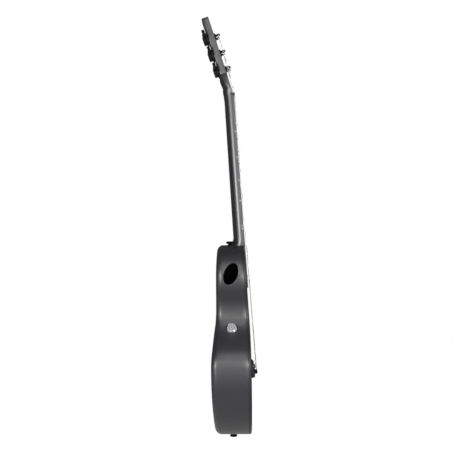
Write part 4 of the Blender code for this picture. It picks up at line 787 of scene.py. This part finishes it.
def makeHead():
    root = guitar["nutWidth"] / 2 + neck["headRoot"]
    half, topHalf, length = neck["headHalfWidth"], neck["headTopHalfWidth"], neck["headLength"]
    short, below = neck["headCurveEnd"]
    inward, down = neck["headCorner"]
    curve = [Vector((root + out, up)) for out, up in neck["headCurve"]]
    edge = curvePlaces(*curve, Vector((half - short, neck["chin"] - below)), 20)
    edge += [Vector((half, neck["chin"])), Vector((half, neck["headWideTo"])),
             Vector((topHalf, length - down)), Vector((topHalf - inward, length))]
    bm = loftRows([headRow(place.x, place.y) for place in edge])
    corners = [e for e in bm.edges if e.calc_face_angle(0.0) > neck["headEdgeAngle"]]
    soften(bm, corners, neck["headEdge"], 3)
    head = addPiece(bm, "headstock", "neckSatin", matrix=headFrame, stands=("neck",))
    carve(head, [makeCutter(rod(*neck["postHole"]), postFrame(number)) for number in range(1, 7)])


tuner = {
    "first": 0.0545,
    "pitch": 0.0374,
    "offset": 0.023,
    "wormDepth": 0.0063,
    "wormOffset": 0.0075,
}


def postPlace(number):
    bass = number > 3
    side = -1.0 if bass else 1.0
    return side, tuner["first"] + tuner["pitch"] * (6 - number if bass else number - 1)


def postFrame(number):
    side, up = postPlace(number)
    return headFrame @ Matrix.Translation((0.0, side * tuner["offset"], up)) @ turnToX


makeNeck()
makeHead()
print("neck made")

board = {
    "frets": 20,
    "fretWidth": 0.0022,
    "fretHeight": 0.0011,
    "dotRadius": 0.001,
    "dotShare": 0.62,
    "dotFrets": (3, 5, 7, 9, 12, 15, 17),
    "doubleDot": 12,
    "dotSpacing": 0.007,
    "dotClear": 0.00002,
    "dotDepth": 0.0006,
    "dotThickness": 0.0006,
    "edge": 0.0004,
    "fretSunk": 0.0004,
    "crownFrom": 0.0005,
    "crownRound": 0.00085,
}


def fretDistance(number):
    return guitar["scaleLength"] * (1.0 - 2.0 ** (-number / 12.0))


def makeBoard():
    length = guitar["boardLength"]
    low, high = boardHalfWidth(0.0), boardHalfWidth(length)
    bm = roundedBox((-guitar["boardThickness"], -low, -length), (0.0, low, 0.0))
    ends = [vert for vert in bm.verts if vert.co.z < -length / 2]
    bmesh.ops.scale(bm, vec=(1.0, high / low, 1.0), verts=ends)
    soften(bm, bm.edges[:], board["edge"], 2)
    piece = addPiece(bm, "fingerboard", "boardStone", stands=("fretboard",),
                     matrix=neckFrame)
    radius, deep = board["dotRadius"] + board["dotClear"], board["dotDepth"]
    carve(piece, [makeCutter(rod(radius, -deep, deep, 24), dotFrame(along)) for along in dotPlaces()])


def dotPlaces():
    places = []
    for number in board["dotFrets"]:
        middle = (fretDistance(number - 1) + fretDistance(number)) / 2
        if number == board["doubleDot"]:
            places += [middle - board["dotSpacing"] / 2, middle + board["dotSpacing"] / 2]
        else:
            places.append(middle)
    return places


def dotFrame(along):
    low = -guitar["boardThickness"] * board["dotShare"]
    return neckFrame @ Matrix.Translation((low, -boardHalfWidth(along), -along)) @ turnToY


def makeFretsAndDots():
    frets = bmesh.new()
    for number in range(1, board["frets"] + 1):
        along = fretDistance(number)
        half = boardHalfWidth(along) - gap
        wire = roundedBox((-board["fretSunk"], -half, -along - board["fretWidth"] / 2),
                          (board["fretHeight"], half, -along + board["fretWidth"] / 2))
        crown = [e for e in wire.edges if all(v.co.x > board["crownFrom"] for v in e.verts)]
        soften(wire, crown, board["crownRound"], 4)
        addTo(frets, wire)
    addPiece(frets, "fret_wires", "fretSteel", matrix=neckFrame)
    dots = bmesh.new()
    low, high = board["dotClear"], board["dotClear"] + board["dotThickness"]
    for along in dotPlaces():
        addTo(dots, rod(board["dotRadius"], low, high, 24), dotFrame(along))
    addPiece(dots, "side_dots", "dotWhite")


makeBoard()
makeFretsAndDots()
print("fretboard made")


# Nut, bridge, saddle and pins

strings = {
    "radii": (0.00015, 0.0002, 0.0003, 0.0004, 0.00053, 0.00067),
    "nutSpread": 0.0358,
    "saddleSpread": 0.0520,
    "saddleRise": 0.0038,
    "nutRise": 0.0020,
    "nutSlot": 0.0009,
    "turns": 2.4,
    "turnGap": 0.00075,
    "loopPoints": 36,
    "firstWound": 3,
    "nutEdge": 0.0005,
    "slotClear": 0.0003,
    "slotPast": 0.002,
    "weldReach": 0.000001,
}
bridge = {
    "width": 0.140,
    "above": 0.0085,
    "below": 0.0165,
    "height": 0.009,
    "chamfer": 0.0035,
    "endSlope": 0.006,
    "endShare": 0.6,
    "backChamfer": (0.6, 0.45),
    "saddleEndShare": 0.96,
    "saddleEndRound": 0.001,
    "holeLow": -0.01,
    "holeHigh": 0.03,
    "edge": 0.0005,
    "saddleThickness": 0.0026,
    "saddleWidth": 0.072,
    "slotDepth": 0.0060,
    "pickup": 0.0012,
    "pinBehind": 0.0095,
    "pinRadius": 0.0023,
    "pinHeadRadius": 0.00375,
    "pinHeadHeight": 0.0060,
    "pinCrown": ((0.0, 1.0), (0.35, 0.97), (0.65, 0.85), (0.88, 0.66), (1.0, 0.45), (0.985, 0.25),
                 (0.92, 0.08), (0.84, 0.0)),
    "pinLength": 0.020,
    "pinHole": 0.0027,
    "slotReach": 0.0058,
    "slotHalf": 0.0011,
    "stringFromPin": 0.0048,
    "plate": 0.0025,
    "ballRadius": 0.002,
    "ballLength": 0.0035,
}
saddleZ = -guitar["scaleLength"] * math.cos(guitar["neckAngle"])


def nutY(number):
    return (3.5 - number) * strings["nutSpread"] / 5


def saddleY(number):
    return (3.5 - number) * strings["saddleSpread"] / 5


def bridgeFrame():
    low, high = saddleZ - bridge["below"], saddleZ + bridge["above"]
    slope = math.atan((topX(low) - topX(high)) / (high - low))
    foot = Vector((topX(saddleZ) + gap, 0.0, saddleZ))
    return Matrix.Translation(foot) @ Matrix.Rotation(-slope, 4, "Y")


bridgeSeat = bridgeFrame()


def makeNut():
    half = guitar["nutWidth"] / 2
    bm = roundedBox((-guitar["boardThickness"], -half, gap),
                    (strings["nutRise"], half, guitar["nutLength"] - gap), strings["nutEdge"])
    nut = addPiece(bm, "string_nut", "bridgeBlack", stands=("nut",), matrix=neckFrame)
    past = strings["slotPast"]
    tools = []
    for number, radius in enumerate(strings["radii"], start=1):
        wide = radius + strings["slotClear"]
        slot = roundedBox((strings["nutSlot"], nutY(number) - wide, -past),
                          (strings["nutRise"] + past, nutY(number) + wide, guitar["nutLength"] + past))
        tools.append(makeCutter(slot, neckFrame))
    carve(nut, tools)


def makeBridge():
    low, high, height, chamfer = -bridge["below"], bridge["above"], bridge["height"], bridge["chamfer"]
    drop, run = [chamfer * share for share in bridge["backChamfer"]]
    side = ((0.0, low), (height - drop, low), (height, low + run), (height, high - chamfer),
            (height - chamfer, high), (0.0, high))
    end = bridge["width"] / 2
    rows = []
    for y, share in ((-end, bridge["endShare"]), (-end + bridge["endSlope"], 1.0),
                     (end - bridge["endSlope"], 1.0), (end, bridge["endShare"])):
        rows.append([Vector((x * share, y, z)) for x, z in side])
    bm = loftRows(rows)
    soften(bm, bm.edges[:], bridge["edge"], 3)
    piece = addPiece(bm, "bridge_bar", "bridgeBlack", stands=("bridge",),
                     matrix=bridgeSeat)
    half = bridge["saddleThickness"] / 2 + gap
    wide = bridge["saddleWidth"] / 2 + gap
    bottom, top = bridge["holeLow"], bridge["holeHigh"]
    slot = roundedBox((height - bridge["slotDepth"], -wide, -half), (top + cutDeep, wide, half))
    tools = [makeCutter(slot, bridgeSeat)]
    for number in range(1, 7):
        seat = bridgeSeat @ Matrix.Translation((0.0, saddleY(number), -bridge["pinBehind"]))
        tools.append(makeCutter(rod(bridge["pinHole"], bottom, top), seat @ turnToX))
        tools.append(makeCutter(roundedBox((bottom, -bridge["slotHalf"], 0.0),
                                           (top, bridge["slotHalf"], bridge["slotReach"])), seat))
    carve(piece, tools)


def saddleTop():
    peak = neckFrame @ Vector((strings["saddleRise"], 0.0, -guitar["scaleLength"]))
    return (bridgeSeat.inverted() @ peak).x


def makeSaddle():
    floor = bridge["height"] - bridge["slotDepth"] + gap * 2 + bridge["pickup"]
    half, top = bridge["saddleThickness"] / 2, saddleTop()
    crown = arc((0.0, top - half), half, 180.0, 0.0, 12)
    side = [(floor, -half)] + [(x, z) for z, x in crown] + [(floor, half)]
    end, low = bridge["saddleWidth"] / 2, bridge["saddleEndShare"]
    full = end - bridge["saddleEndRound"]
    rows = [[Vector((floor + (x - floor) * share, y, z)) for x, z in side]
            for y, share in ((-end, low), (-full, 1.0), (full, 1.0), (end, low))]
    addPiece(loftRows(rows), "saddle_bar", "boneWhite", stands=("saddle",), matrix=bridgeSeat)


def makePins():
    head, radius = bridge["pinHeadRadius"], bridge["pinRadius"]
    tall, long = bridge["pinHeadHeight"], bridge["pinLength"]
    profile = [(head * out, tall * up) for out, up in bridge["pinCrown"]]
    profile += [(radius, 0.0), (radius * 0.95, -long * 0.4), (radius * 0.85, -long + 0.0008),
                (radius * 0.6, -long), (0.0, -long)]
    for number in range(1, 7):
        seat = Matrix.Translation((bridge["height"] + gap, saddleY(number), -bridge["pinBehind"]))
        addPiece(turnProfile(profile, 32), f"string_pin_{number}", "glossBlack",
                 stands=(f"bridge_pin_{number}",), matrix=bridgeSeat @ seat @ turnToX, sharp=50.0)


makeNut()
makeBridge()
makeSaddle()
makePins()
print("bridge made")


# Tuners

machine = {
    "postRadius": 0.003,
    "waistRadius": 0.0024,
    "postHeight": 0.0125,
    "waistLow": 0.0040,
    "waistHigh": 0.0106,
    "bushBore": 0.0033,
    "bushRadius": 0.0044,
    "bushFlange": 0.0064,
    "bushDome": 0.0030,
    "wormRadius": 0.0022,
    "wormLength": 0.009,
    "shaftRadius": 0.0015,
    "wheelRadius": 0.0050,
    "wheelTeeth": 15,
    "wheelTooth": 0.0008,
    "wheelThickness": 0.003,
    "housingDepth": 0.0100,
    "housingHalf": 0.0069,
    "housingTop": 0.0113,
    "housingWall": 0.0013,
    "housingRoof": 0.0016,
    "housingEdge": 0.0011,
    "holePast": 0.001,
    "shaftClear": 0.0002,
    "lug": 0.0044,
    "lugThickness": 0.0022,
    "lugHalf": 0.0032,
    "buttonStart": 0.0165,
    "buttonLength": 0.015,
    "buttonWidth": 0.0195,
    "buttonThickness": 0.0064,
    "buttonCorner": 0.0046,
    "buttonRound": 0.0021,
    "buttonRimAngle": math.radians(50.0),
    "buttonNarrow": 0.16,
    "buttonThin": 0.18,
    "buttonTaper": 0.6,
    "shaftInButton": 0.004,
    "wormEdge": 0.0002,
    "collar": ((0.0, 0.001), (0.0026, 0.001), (0.0026, -0.0008), (0.0023, -0.0012), (0.0, -0.0012)),
    "postCrown": ((0.0, 0.0), (0.55, 0.0001), (0.8, 0.0004), (0.95, 0.0008), (1.0, 0.0013)),
    "screwRadius": 0.001,
    "screwHead": 0.0018,
    "screwHeadHeight": 0.0012,
    "screwLength": 0.008,
    "screwTip": 0.0015,
    "screwSlot": (0.0019, 0.0004, 0.0006),
}
headBack = -guitar["headThickness"] - gap


def wormFrame(number):
    side, up = postPlace(number)
    centre = (headBack - tuner["wormDepth"], side * tuner["offset"], up + tuner["wormOffset"])
    return headFrame @ Matrix.Translation(centre) @ (turnToY if side > 0 else turnToY.inverted())


def makePost(number):
    low = headBack - tuner["wormDepth"] - machine["wheelThickness"] / 2
    hub, waist, tall = machine["postRadius"], machine["waistRadius"], machine["postHeight"]
    crown = tall - machine["postCrown"][-1][1]
    profile = [(hub * out, tall - down) for out, down in machine["postCrown"]]
    profile += [(hub - (hub - waist) * (1 - math.cos(math.pi * step / 8)) / 2,
                 crown - (crown - machine["waistHigh"]) * step / 8) for step in range(1, 9)]
    profile += [(waist, machine["waistLow"] + 0.0006), (waist + 0.0002, machine["waistLow"] + 0.0002),
                (hub, machine["waistLow"]), (hub, low), (0.0, low)]
    bm = turnProfile(profile, 32)
    teeth = []
    for index in range(2 * machine["wheelTeeth"]):
        radius = machine["wheelRadius"] - (machine["wheelTooth"] if index % 2 else 0.0)
        turn = math.pi * index / machine["wheelTeeth"]
        teeth.append((radius * math.cos(turn), radius * math.sin(turn)))
    wheel = slabFrom(teeth, machine["wheelThickness"])
    stand = Matrix.Translation((0.0, 0.0, low + machine["wheelThickness"]))
    addTo(bm, wheel, stand @ turnToX.inverted())
    addPiece(bm, f"post_turned_{number}", "castBlack", body=f"post_{number}",
             stands=(f"tuner_post_{number}",), matrix=postFrame(number), sharp=40.0)


def makeButton(number):
    start, length = machine["buttonStart"], machine["buttonLength"]
    half, shaft, worm = machine["wormLength"] / 2, machine["shaftRadius"], machine["wormRadius"]
    edge, inside = machine["wormEdge"], start + machine["shaftInButton"]
    bm = turnProfile([(0.0, inside), (shaft, inside), (shaft, half), (worm - edge, half), (worm, half - edge),
                      (worm, -half + edge), (worm - edge, -half), (0.0, -half)], 24)
    thick, wide = machine["buttonThickness"] / 2, machine["buttonWidth"] / 2
    grip = roundedBox((-thick, -wide, start), (thick, wide, start + length))
    corners = [e for e in grip.edges if abs(e.verts[0].co.x - e.verts[1].co.x) > thick]
    soften(grip, corners, machine["buttonCorner"], 8)
    rims = [e for e in grip.edges if e.calc_face_angle(0.0) > machine["buttonRimAngle"]]
    soften(grip, rims, machine["buttonRound"], 5)
    for vert in grip.verts:
        near = 1.0 - min(max((vert.co.z - start) / (length * machine["buttonTaper"]), 0.0), 1.0)
        vert.co.y *= 1.0 - machine["buttonNarrow"] * near * near
        vert.co.x *= 1.0 - machine["buttonThin"] * near * near
    addTo(bm, grip)
    addTo(bm, turnProfile([(out, start + up) for out, up in machine["collar"]], 24))
    addPiece(bm, f"button_grip_{number}", "glossBlack", body=f"button_{number}",
             stands=(f"tuner_button_{number}",), matrix=wormFrame(number), sharp=35.0)


def crossCutters(length, width, depth, matrix):
    # the two bars of a cross-head slot, one cutter each
    long, short = length / 2, width / 2
    return [makeCutter(roundedBox((-x, -y, -depth), (x, y, depth)), matrix)
            for x, y in ((long, short), (short, long))]


def makeHousing(number):
    side, up = postPlace(number)
    spot = headFrame @ Matrix.Translation((headBack, side * tuner["offset"], up))
    half, deep, wall = machine["housingHalf"], machine["housingDepth"], machine["housingWall"]
    bm = roundedBox((-deep, -half, -half), (0.0, half, machine["housingTop"]))
    backEdges = [e for e in bm.edges if any(v.co.x < -deep / 2 for v in e.verts)]
    soften(bm, backEdges, machine["housingEdge"], 4)
    piece = addPiece(bm, f"housing_cast_{number}", "castBlack",
                     stands=(f"tuner_housing_{number}",), matrix=spot)
    lug = slabFrom([(y, z - half - machine["lug"] + machine["lugHalf"])
                    for y, z in arc((0.0, 0.0), machine["lugHalf"], 180.0, 360.0, 16)]
                   + [(machine["lugHalf"], -half + wall * 0.5), (-machine["lugHalf"], -half + wall * 0.5)],
                   machine["lugThickness"])
    carve(piece, [makeCutter(lug, spot)], operation="UNION")
    inner = half - wall
    cavity = roundedBox((-deep + wall, -inner, -half + wall),
                        (-machine["housingRoof"], inner, machine["housingTop"] - wall))
    past = machine["holePast"]
    bore = rod(machine["bushBore"], headBack - machine["housingRoof"] - past, headBack + past)
    hole = rod(machine["shaftRadius"] + machine["shaftClear"], inner - past, half + past, 24)
    carve(piece, [makeCutter(cavity, spot), makeCutter(bore, postFrame(number)),
                  makeCutter(hole, wormFrame(number))])
    makeBushing(number)
    makeScrew(number)


def makeBushing(number):
    foot = headBack + 0.0001
    dome, flange, sleeve = machine["bushDome"], machine["bushFlange"], machine["bushRadius"]
    profile = [(machine["bushBore"], dome - 0.0002), (machine["bushBore"] + 0.0003, dome)]
    profile += [(sleeve - 0.0002 + (flange - sleeve) * math.sin(math.radians(turn)),
                 dome * 0.32 + dome * 0.66 * math.cos(math.radians(turn))) for turn in range(0, 91, 15)]
    profile += [(flange, dome * 0.28), (flange, gap + 0.0003), (flange - 0.0003, gap),
                (sleeve, gap), (sleeve, foot), (machine["bushBore"], foot)]
    addPiece(turnProfile(profile, 40, close=True), f"bushing_{number}", "castBlack",
             matrix=postFrame(number), sharp=40.0)


def makeScrew(number):
    side, up = postPlace(number)
    below = up - machine["housingHalf"] - machine["lug"] / 2
    spot = headFrame @ Matrix.Translation((-guitar["headThickness"], side * tuner["offset"], below)) @ turnToX
    under = -machine["lugThickness"] - gap + 0.0002
    head, tall, radius = machine["screwHead"], machine["screwHeadHeight"], machine["screwRadius"]
    profile = [(0.0, machine["screwLength"]), (radius, machine["screwLength"] - machine["screwTip"]),
               (radius, under), (head, under), (head, under - tall * 0.35),
               (head * 0.92, under - tall * 0.65), (head * 0.7, under - tall * 0.9), (0.0, under - tall)]
    screw = addPiece(turnProfile(profile, 32), f"housing_screw_{number}", "castBlack",
                     matrix=spot)
    top = spot @ Matrix.Translation((0.0, 0.0, under - tall))
    carve(screw, crossCutters(*machine["screwSlot"], top))


for number in range(1, 7):
    makeHousing(number)
    makeButton(number)
    makePost(number)
print("tuners made")


# Strings

def winding(number, radius, nutPoint):
    side, up = postPlace(number)
    coil = machine["waistRadius"] + gap + radius
    toPost = Vector((side * (side * tuner["offset"] - nutPoint.y), up - nutPoint.z))
    first = math.atan2(toPost.y, toPost.x) + math.asin(coil / toPost.length) + math.pi / 2
    pitch = 2 * radius + strings["turnGap"]
    height = machine["waistHigh"] - radius - gap
    points = []
    for index in range(round(strings["turns"] * strings["loopPoints"]) + 1):
        share = index / strings["loopPoints"]
        turn = first - 2 * math.pi * share
        points.append(Vector((height - pitch * share, side * (tuner["offset"] + coil * math.cos(turn)),
                              up + coil * math.sin(turn))))
    return [headFrame @ point for point in points]


def stringRoute(number, radius):
    lift = radius + gap
    holeZ = bridge["stringFromPin"] - bridge["pinBehind"]
    ballTop = -gap * 4 - body["topThickness"] - bridge["plate"]
    top, half = saddleTop() + lift, bridge["saddleThickness"] / 2
    stops = [(ballTop - bridge["ballLength"], holeZ), (ballTop - 0.0004, holeZ), (ballTop, holeZ),
             (bridge["height"] * 0.9, holeZ), (bridge["height"] + 0.0008, holeZ + 0.0004),
             (top - 0.0010, -half - 0.0004), (top, -half / 2), (top, 0.0006)]
    route = [bridgeSeat @ Vector((x, saddleY(number), z)) for x, z in stops]
    height = strings["nutSlot"] + lift
    back = Vector((height, nutY(number), guitar["nutLength"] - 0.001))
    turns = winding(number, radius, headFrame.inverted() @ neckFrame @ back)
    return route + [neckFrame @ Vector((height, nutY(number), 0.0003)), neckFrame @ back] + turns


def makeString(number, radius):
    name = f"strung_{number}"
    curve = bpy.data.curves.new(name, "CURVE")
    curve.dimensions = "3D"
    curve.bevel_depth = radius
    curve.bevel_resolution = 3
    curve.use_fill_caps = True
    line = curve.splines.new("POLY")
    places = stringRoute(number, radius)
    line.points.add(len(places) - 1)
    for point, place in zip(line.points, places):
        point.co = (*place, 1.0)
    for point in line.points[:2]:
        point.radius = bridge["ballRadius"] / radius
    drawn = addObject("drawn", curve)
    bpy.context.view_layer.update()
    mesh = bpy.data.meshes.new_from_object(drawn.evaluated_get(bpy.context.evaluated_depsgraph_get()))
    bpy.data.objects.remove(drawn, do_unlink=True)
    bm = bmesh.new()
    bm.from_mesh(mesh)
    bpy.data.meshes.remove(mesh)
    finish = "stringWound" if number >= strings["firstWound"] else "stringPlain"
    addPiece(bm, name, finish, stands=(f"string_{number}",), sharp=60.0,
             weld=strings["weldReach"])


for number, radius in enumerate(strings["radii"], start=1):
    makeString(number, radius)
print("strings made")


# Knob, strap buttons and jack

def makeKnob():
    face, rim, tall = knob["faceRadius"], knob["radius"], knob["height"]
    hollow, edge, lift = knob["nutRadius"] + knob["hollowClear"], knob["edge"], knob["lift"]
    bore, top = knob["shaftRadius"] + gap, knob["shaftTop"]
    roof = top - knob["roofThickness"]
    profile = [(0.0, tall), (face * 0.5, tall), (face * 0.96, tall), (face, tall)]
    profile += [(face + edge * math.sin(math.radians(turn)),
                 tall - edge + edge * math.cos(math.radians(turn))) for turn in (20, 45, 70)]
    profile += [(rim - 0.0002, 0.0008), (rim, 0.0005), (rim - 0.0002, lift), (hollow, lift), (hollow, roof),
                (bore, roof), (bore, top + gap), (0.0, top + gap)]
    addPiece(turnProfile(profile, 96), "knob_turned", "knobSilver", body="volume_knob",
             stands=("control_knob",), matrix=knobFrame(), sharp=38.0)


strapButton = {
    "head": 0.0080,
    "stem": 0.0036,
    "foot": 0.0055,
    "screw": 0.0018,
    "screwEnd": -0.013,
    "screwTip": -0.016,
    "neckTall": 0.0096,
    "endTall": 0.0106,
    "neckPlace": (-0.0095, -0.036, guitar["shoulderZ"]),
    "endPlace": (-0.0005, 0.0, guitar["shoulderZ"] - body["length"]),
    "crown": ((0.0, 1.0), (0.4, 1.0), (0.62, 0.99), (0.80, 0.955), (0.92, 0.90), (0.98, 0.82), (1.0, 0.73),
              (0.985, 0.64), (0.93, 0.56), (0.80, 0.48), (0.62, 0.42)),
}


def makeStrapButton(name, node, tall, matrix):
    head, stem, foot = strapButton["head"], strapButton["stem"], strapButton["foot"]
    screw = strapButton["screw"]
    profile = [(head * out, tall * up) for out, up in strapButton["crown"]]
    profile += [(stem + 0.0004, tall * 0.38), (stem, tall * 0.33), (stem + 0.0002, tall * 0.26),
                (foot - 0.0008, tall * 0.16), (foot, tall * 0.1), (foot, gap), (screw, gap),
                (screw, strapButton["screwEnd"]), (0.0, strapButton["screwTip"])]
    addPiece(turnProfile(profile, 64), name, "glossBlack", stands=(node,), matrix=matrix,
             sharp=40.0)


def makeJack():
    bore, flange, radius = jack["bore"], jack["flangeRadius"], jack["radius"]
    under, end, deep = -jack["flange"], -jack["length"], -jack["boreDepth"]
    profile = [(bore, -0.0004), (bore + 0.0004, 0.0), (flange - 0.0006, 0.0), (flange - 0.0002, -0.0002),
               (flange, -0.0006), (flange, under), (radius, under), (radius, end), (0.0, end), (0.0, deep),
               (bore, deep)]
    addPiece(turnProfile(profile, 64, close=True), "jack_turned", "plainSteel",
             stands=("output_jack",), matrix=jackFrame(), sharp=38.0)


makeKnob()
makeStrapButton("strap_button_neck", "neck_strap_button", strapButton["neckTall"],
                Matrix.Translation(strapButton["neckPlace"]))
makeStrapButton("strap_button_end", "end_strap_button", strapButton["endTall"],
                Matrix.Translation(strapButton["endPlace"]) @ turnDown)
makeJack()
print("knob, strap buttons and jack made")


# Carried-over CAD pieces

carried = {
    "blockWood": ("bridge_plate", "neck_block", "end_block", "top_bracing"),
    "brassPlain": ("saddle_pickup", "truss_rod_nut"),
    "plainSteel": ("heel_bolt_1", "heel_bolt_2", "truss_rod", "pot_nut", "pot_shaft", "potentiometer",
                   "jack_nut"),
    "darkPlastic": ("preamp", "battery_tray", "jack_lead", "pickup_lead"),
    "batteryCan": ("battery",),
}
carriedEdges = {"preamp": 0.0006, "battery": 0.0012}
carriedWeld = 0.000001


def dress(node, finish, edge=0.0):
    # a CAD piece keeps its shape and gets its finish, soft edges and smooth rounds
    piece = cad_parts[node]
    piece.data.materials.clear()
    piece.data.materials.append(paint[finish])
    for face in piece.data.polygons:
        face.use_smooth = True
    weld = piece.modifiers.new("weld", "WELD")
    weld.merge_threshold = carriedWeld
    if edge:
        bevel = piece.modifiers.new("edges", "BEVEL")
        bevel.width = edge
        bevel.segments = 2
        bevel.limit_method = "ANGLE"
        bevel.angle_limit = math.radians(40.0)
    split = piece.modifiers.new("split", "EDGE_SPLIT")
    split.split_angle = math.radians(35.0)


for finish, nodes in carried.items():
    for node in nodes:
        dress(node, finish, carriedEdges.get(node, 0.0))
print("CAD pieces dressed")


# Stage, lights and camera

stage = {
    "floorZ": -0.7546,
    "floorColour": (0.45, 0.45, 0.45, 1.0),
    "floorShare": 0.94,
    "floorGlow": 1.06,
    "shineNear": 0.21,
    "shineFar": 0.31,
    "shineMost": 0.55,
    "shineLeast": 0.03,
    "soft": 0.12,
    "middle": (0.0, 0.0, -0.42),
    "away": 2.6,
    "cameraPlace": (-0.0175, -2.6, -0.288),
    "sensor": 36.0,
    "viewWidth": 0.9989,
    "floorSize": 6.0,
    "floorRoughness": 0.9,
}


def makeFloor():
    bm = bmesh.new()
    bmesh.ops.create_grid(bm, x_segments=2, y_segments=2, size=stage["floorSize"])
    mesh = bpy.data.meshes.new("floor")
    bm.to_mesh(mesh)
    bm.free()
    floor = addObject("floor", mesh)
    floor.location = (0.0, 0.0, stage["floorZ"])
    material = bpy.data.materials.new("floorPale")
    material.use_nodes = True
    nodes = material.node_tree.nodes
    shader = nodes["Principled BSDF"]
    shader.inputs["Base Color"].default_value = stage["floorColour"]
    shader.inputs["Roughness"].default_value = stage["floorRoughness"]
    glow = addNode(material, "ShaderNodeEmission", {"Strength": stage["floorGlow"]})
    seen = addNode(material, "ShaderNodeLightPath")
    place = addNode(material, "ShaderNodeTexCoord")
    reach = addNode(material, "ShaderNodeVectorMath", operation="LENGTH")
    near = addNode(material, "ShaderNodeMapRange", interpolation_type="SMOOTHSTEP", inputs={
        "From Min": stage["shineNear"], "From Max": stage["shineFar"],
        "To Min": stage["shineMost"], "To Max": stage["shineLeast"]})
    shine = addNode(material, "ShaderNodeMath", operation="MULTIPLY")
    either = addNode(material, "ShaderNodeMath", operation="MAXIMUM")
    share = addNode(material, "ShaderNodeMath", {1: stage["floorShare"]}, operation="MULTIPLY")
    mix = addNode(material, "ShaderNodeMixShader")
    join(material, (place, "Object", reach, 0), (reach, "Value", near, "Value"), (near, "Result", shine, 1),
         (seen, "Is Camera Ray", either, 0), (seen, "Is Glossy Ray", shine, 0), (shine, "Value", either, 1),
         (either, "Value", share, 0), (share, "Value", mix, "Fac"), (shader, "BSDF", mix, 1),
         (glow, "Emission", mix, 2), (mix, "Shader", nodes["Material Output"], "Surface"))
    mesh.materials.append(material)


def makeWorld():
    world = bpy.data.worlds.new("studio")
    bpy.context.scene.world = world
    world.use_nodes = True
    nodes, white = world.node_tree.nodes, (1.0, 1.0, 1.0, 1.0)
    soft = nodes["Background"]
    soft.inputs["Color"].default_value = white
    soft.inputs["Strength"].default_value = stage["soft"]
    shown = addNode(world, "ShaderNodeBackground", {"Color": white, "Strength": 1.0})
    seen = addNode(world, "ShaderNodeLightPath")
    mix = addNode(world, "ShaderNodeMixShader")
    join(world, (seen, "Is Camera Ray", mix, "Fac"), (soft, "Background", mix, 1),
         (shown, "Background", mix, 2), (mix, "Shader", nodes["World Output"], "Surface"))


def makeLamp(name, across, up, size, power):
    # a softbox round the guitar: degrees left of the camera and above it, width and height, watts
    side, rise = math.radians(across), math.radians(up)
    reach = Vector((-math.sin(side) * math.cos(rise), -math.cos(side) * math.cos(rise), math.sin(rise)))
    lamp = bpy.data.lights.new(name, "AREA")
    lamp.shape = "RECTANGLE"
    lamp.size, lamp.size_y = size
    lamp.energy = power
    holder = addObject(name, lamp)
    holder.location = Vector(stage["middle"]) + reach * stage["away"]
    holder.rotation_euler = (-reach).to_track_quat("-Z", "Y").to_euler()


lamps = {
    "right": (-30, 7, (0.5, 0.6), 56.0),
    "left": (25, 1, (0.4, 0.9), 54.0),
    "farLeft": (42, 6, (0.5, 0.5), 12.0),
    "front": (2, 20, (0.9, 0.7), 9.0),
    "frontHigh": (-8, 44, (0.7, 0.8), 12.0),
    "overhead": (0, 71, (1.7, 1.7), 0.3),
    "topSide": (-84, 14, (0.9, 1.0), 10.0),
    "back": (65, -10, (0.5, 0.5), 12.0),
}
makeFloor()
makeWorld()
for name, (across, up, size, power) in lamps.items():
    makeLamp(name, across, up, size, power)
camera = addObject("camera", bpy.data.cameras.new("camera"))
camera.data.lens = stage["sensor"] * stage["away"] / stage["viewWidth"]
camera.data.sensor_width = stage["sensor"]
camera.location = stage["cameraPlace"]
camera.rotation_euler = (math.pi / 2, 0.0, 0.0)
bpy.context.scene.camera = camera
bpy.context.scene.view_settings.view_transform = "Standard"

print("scene ready")
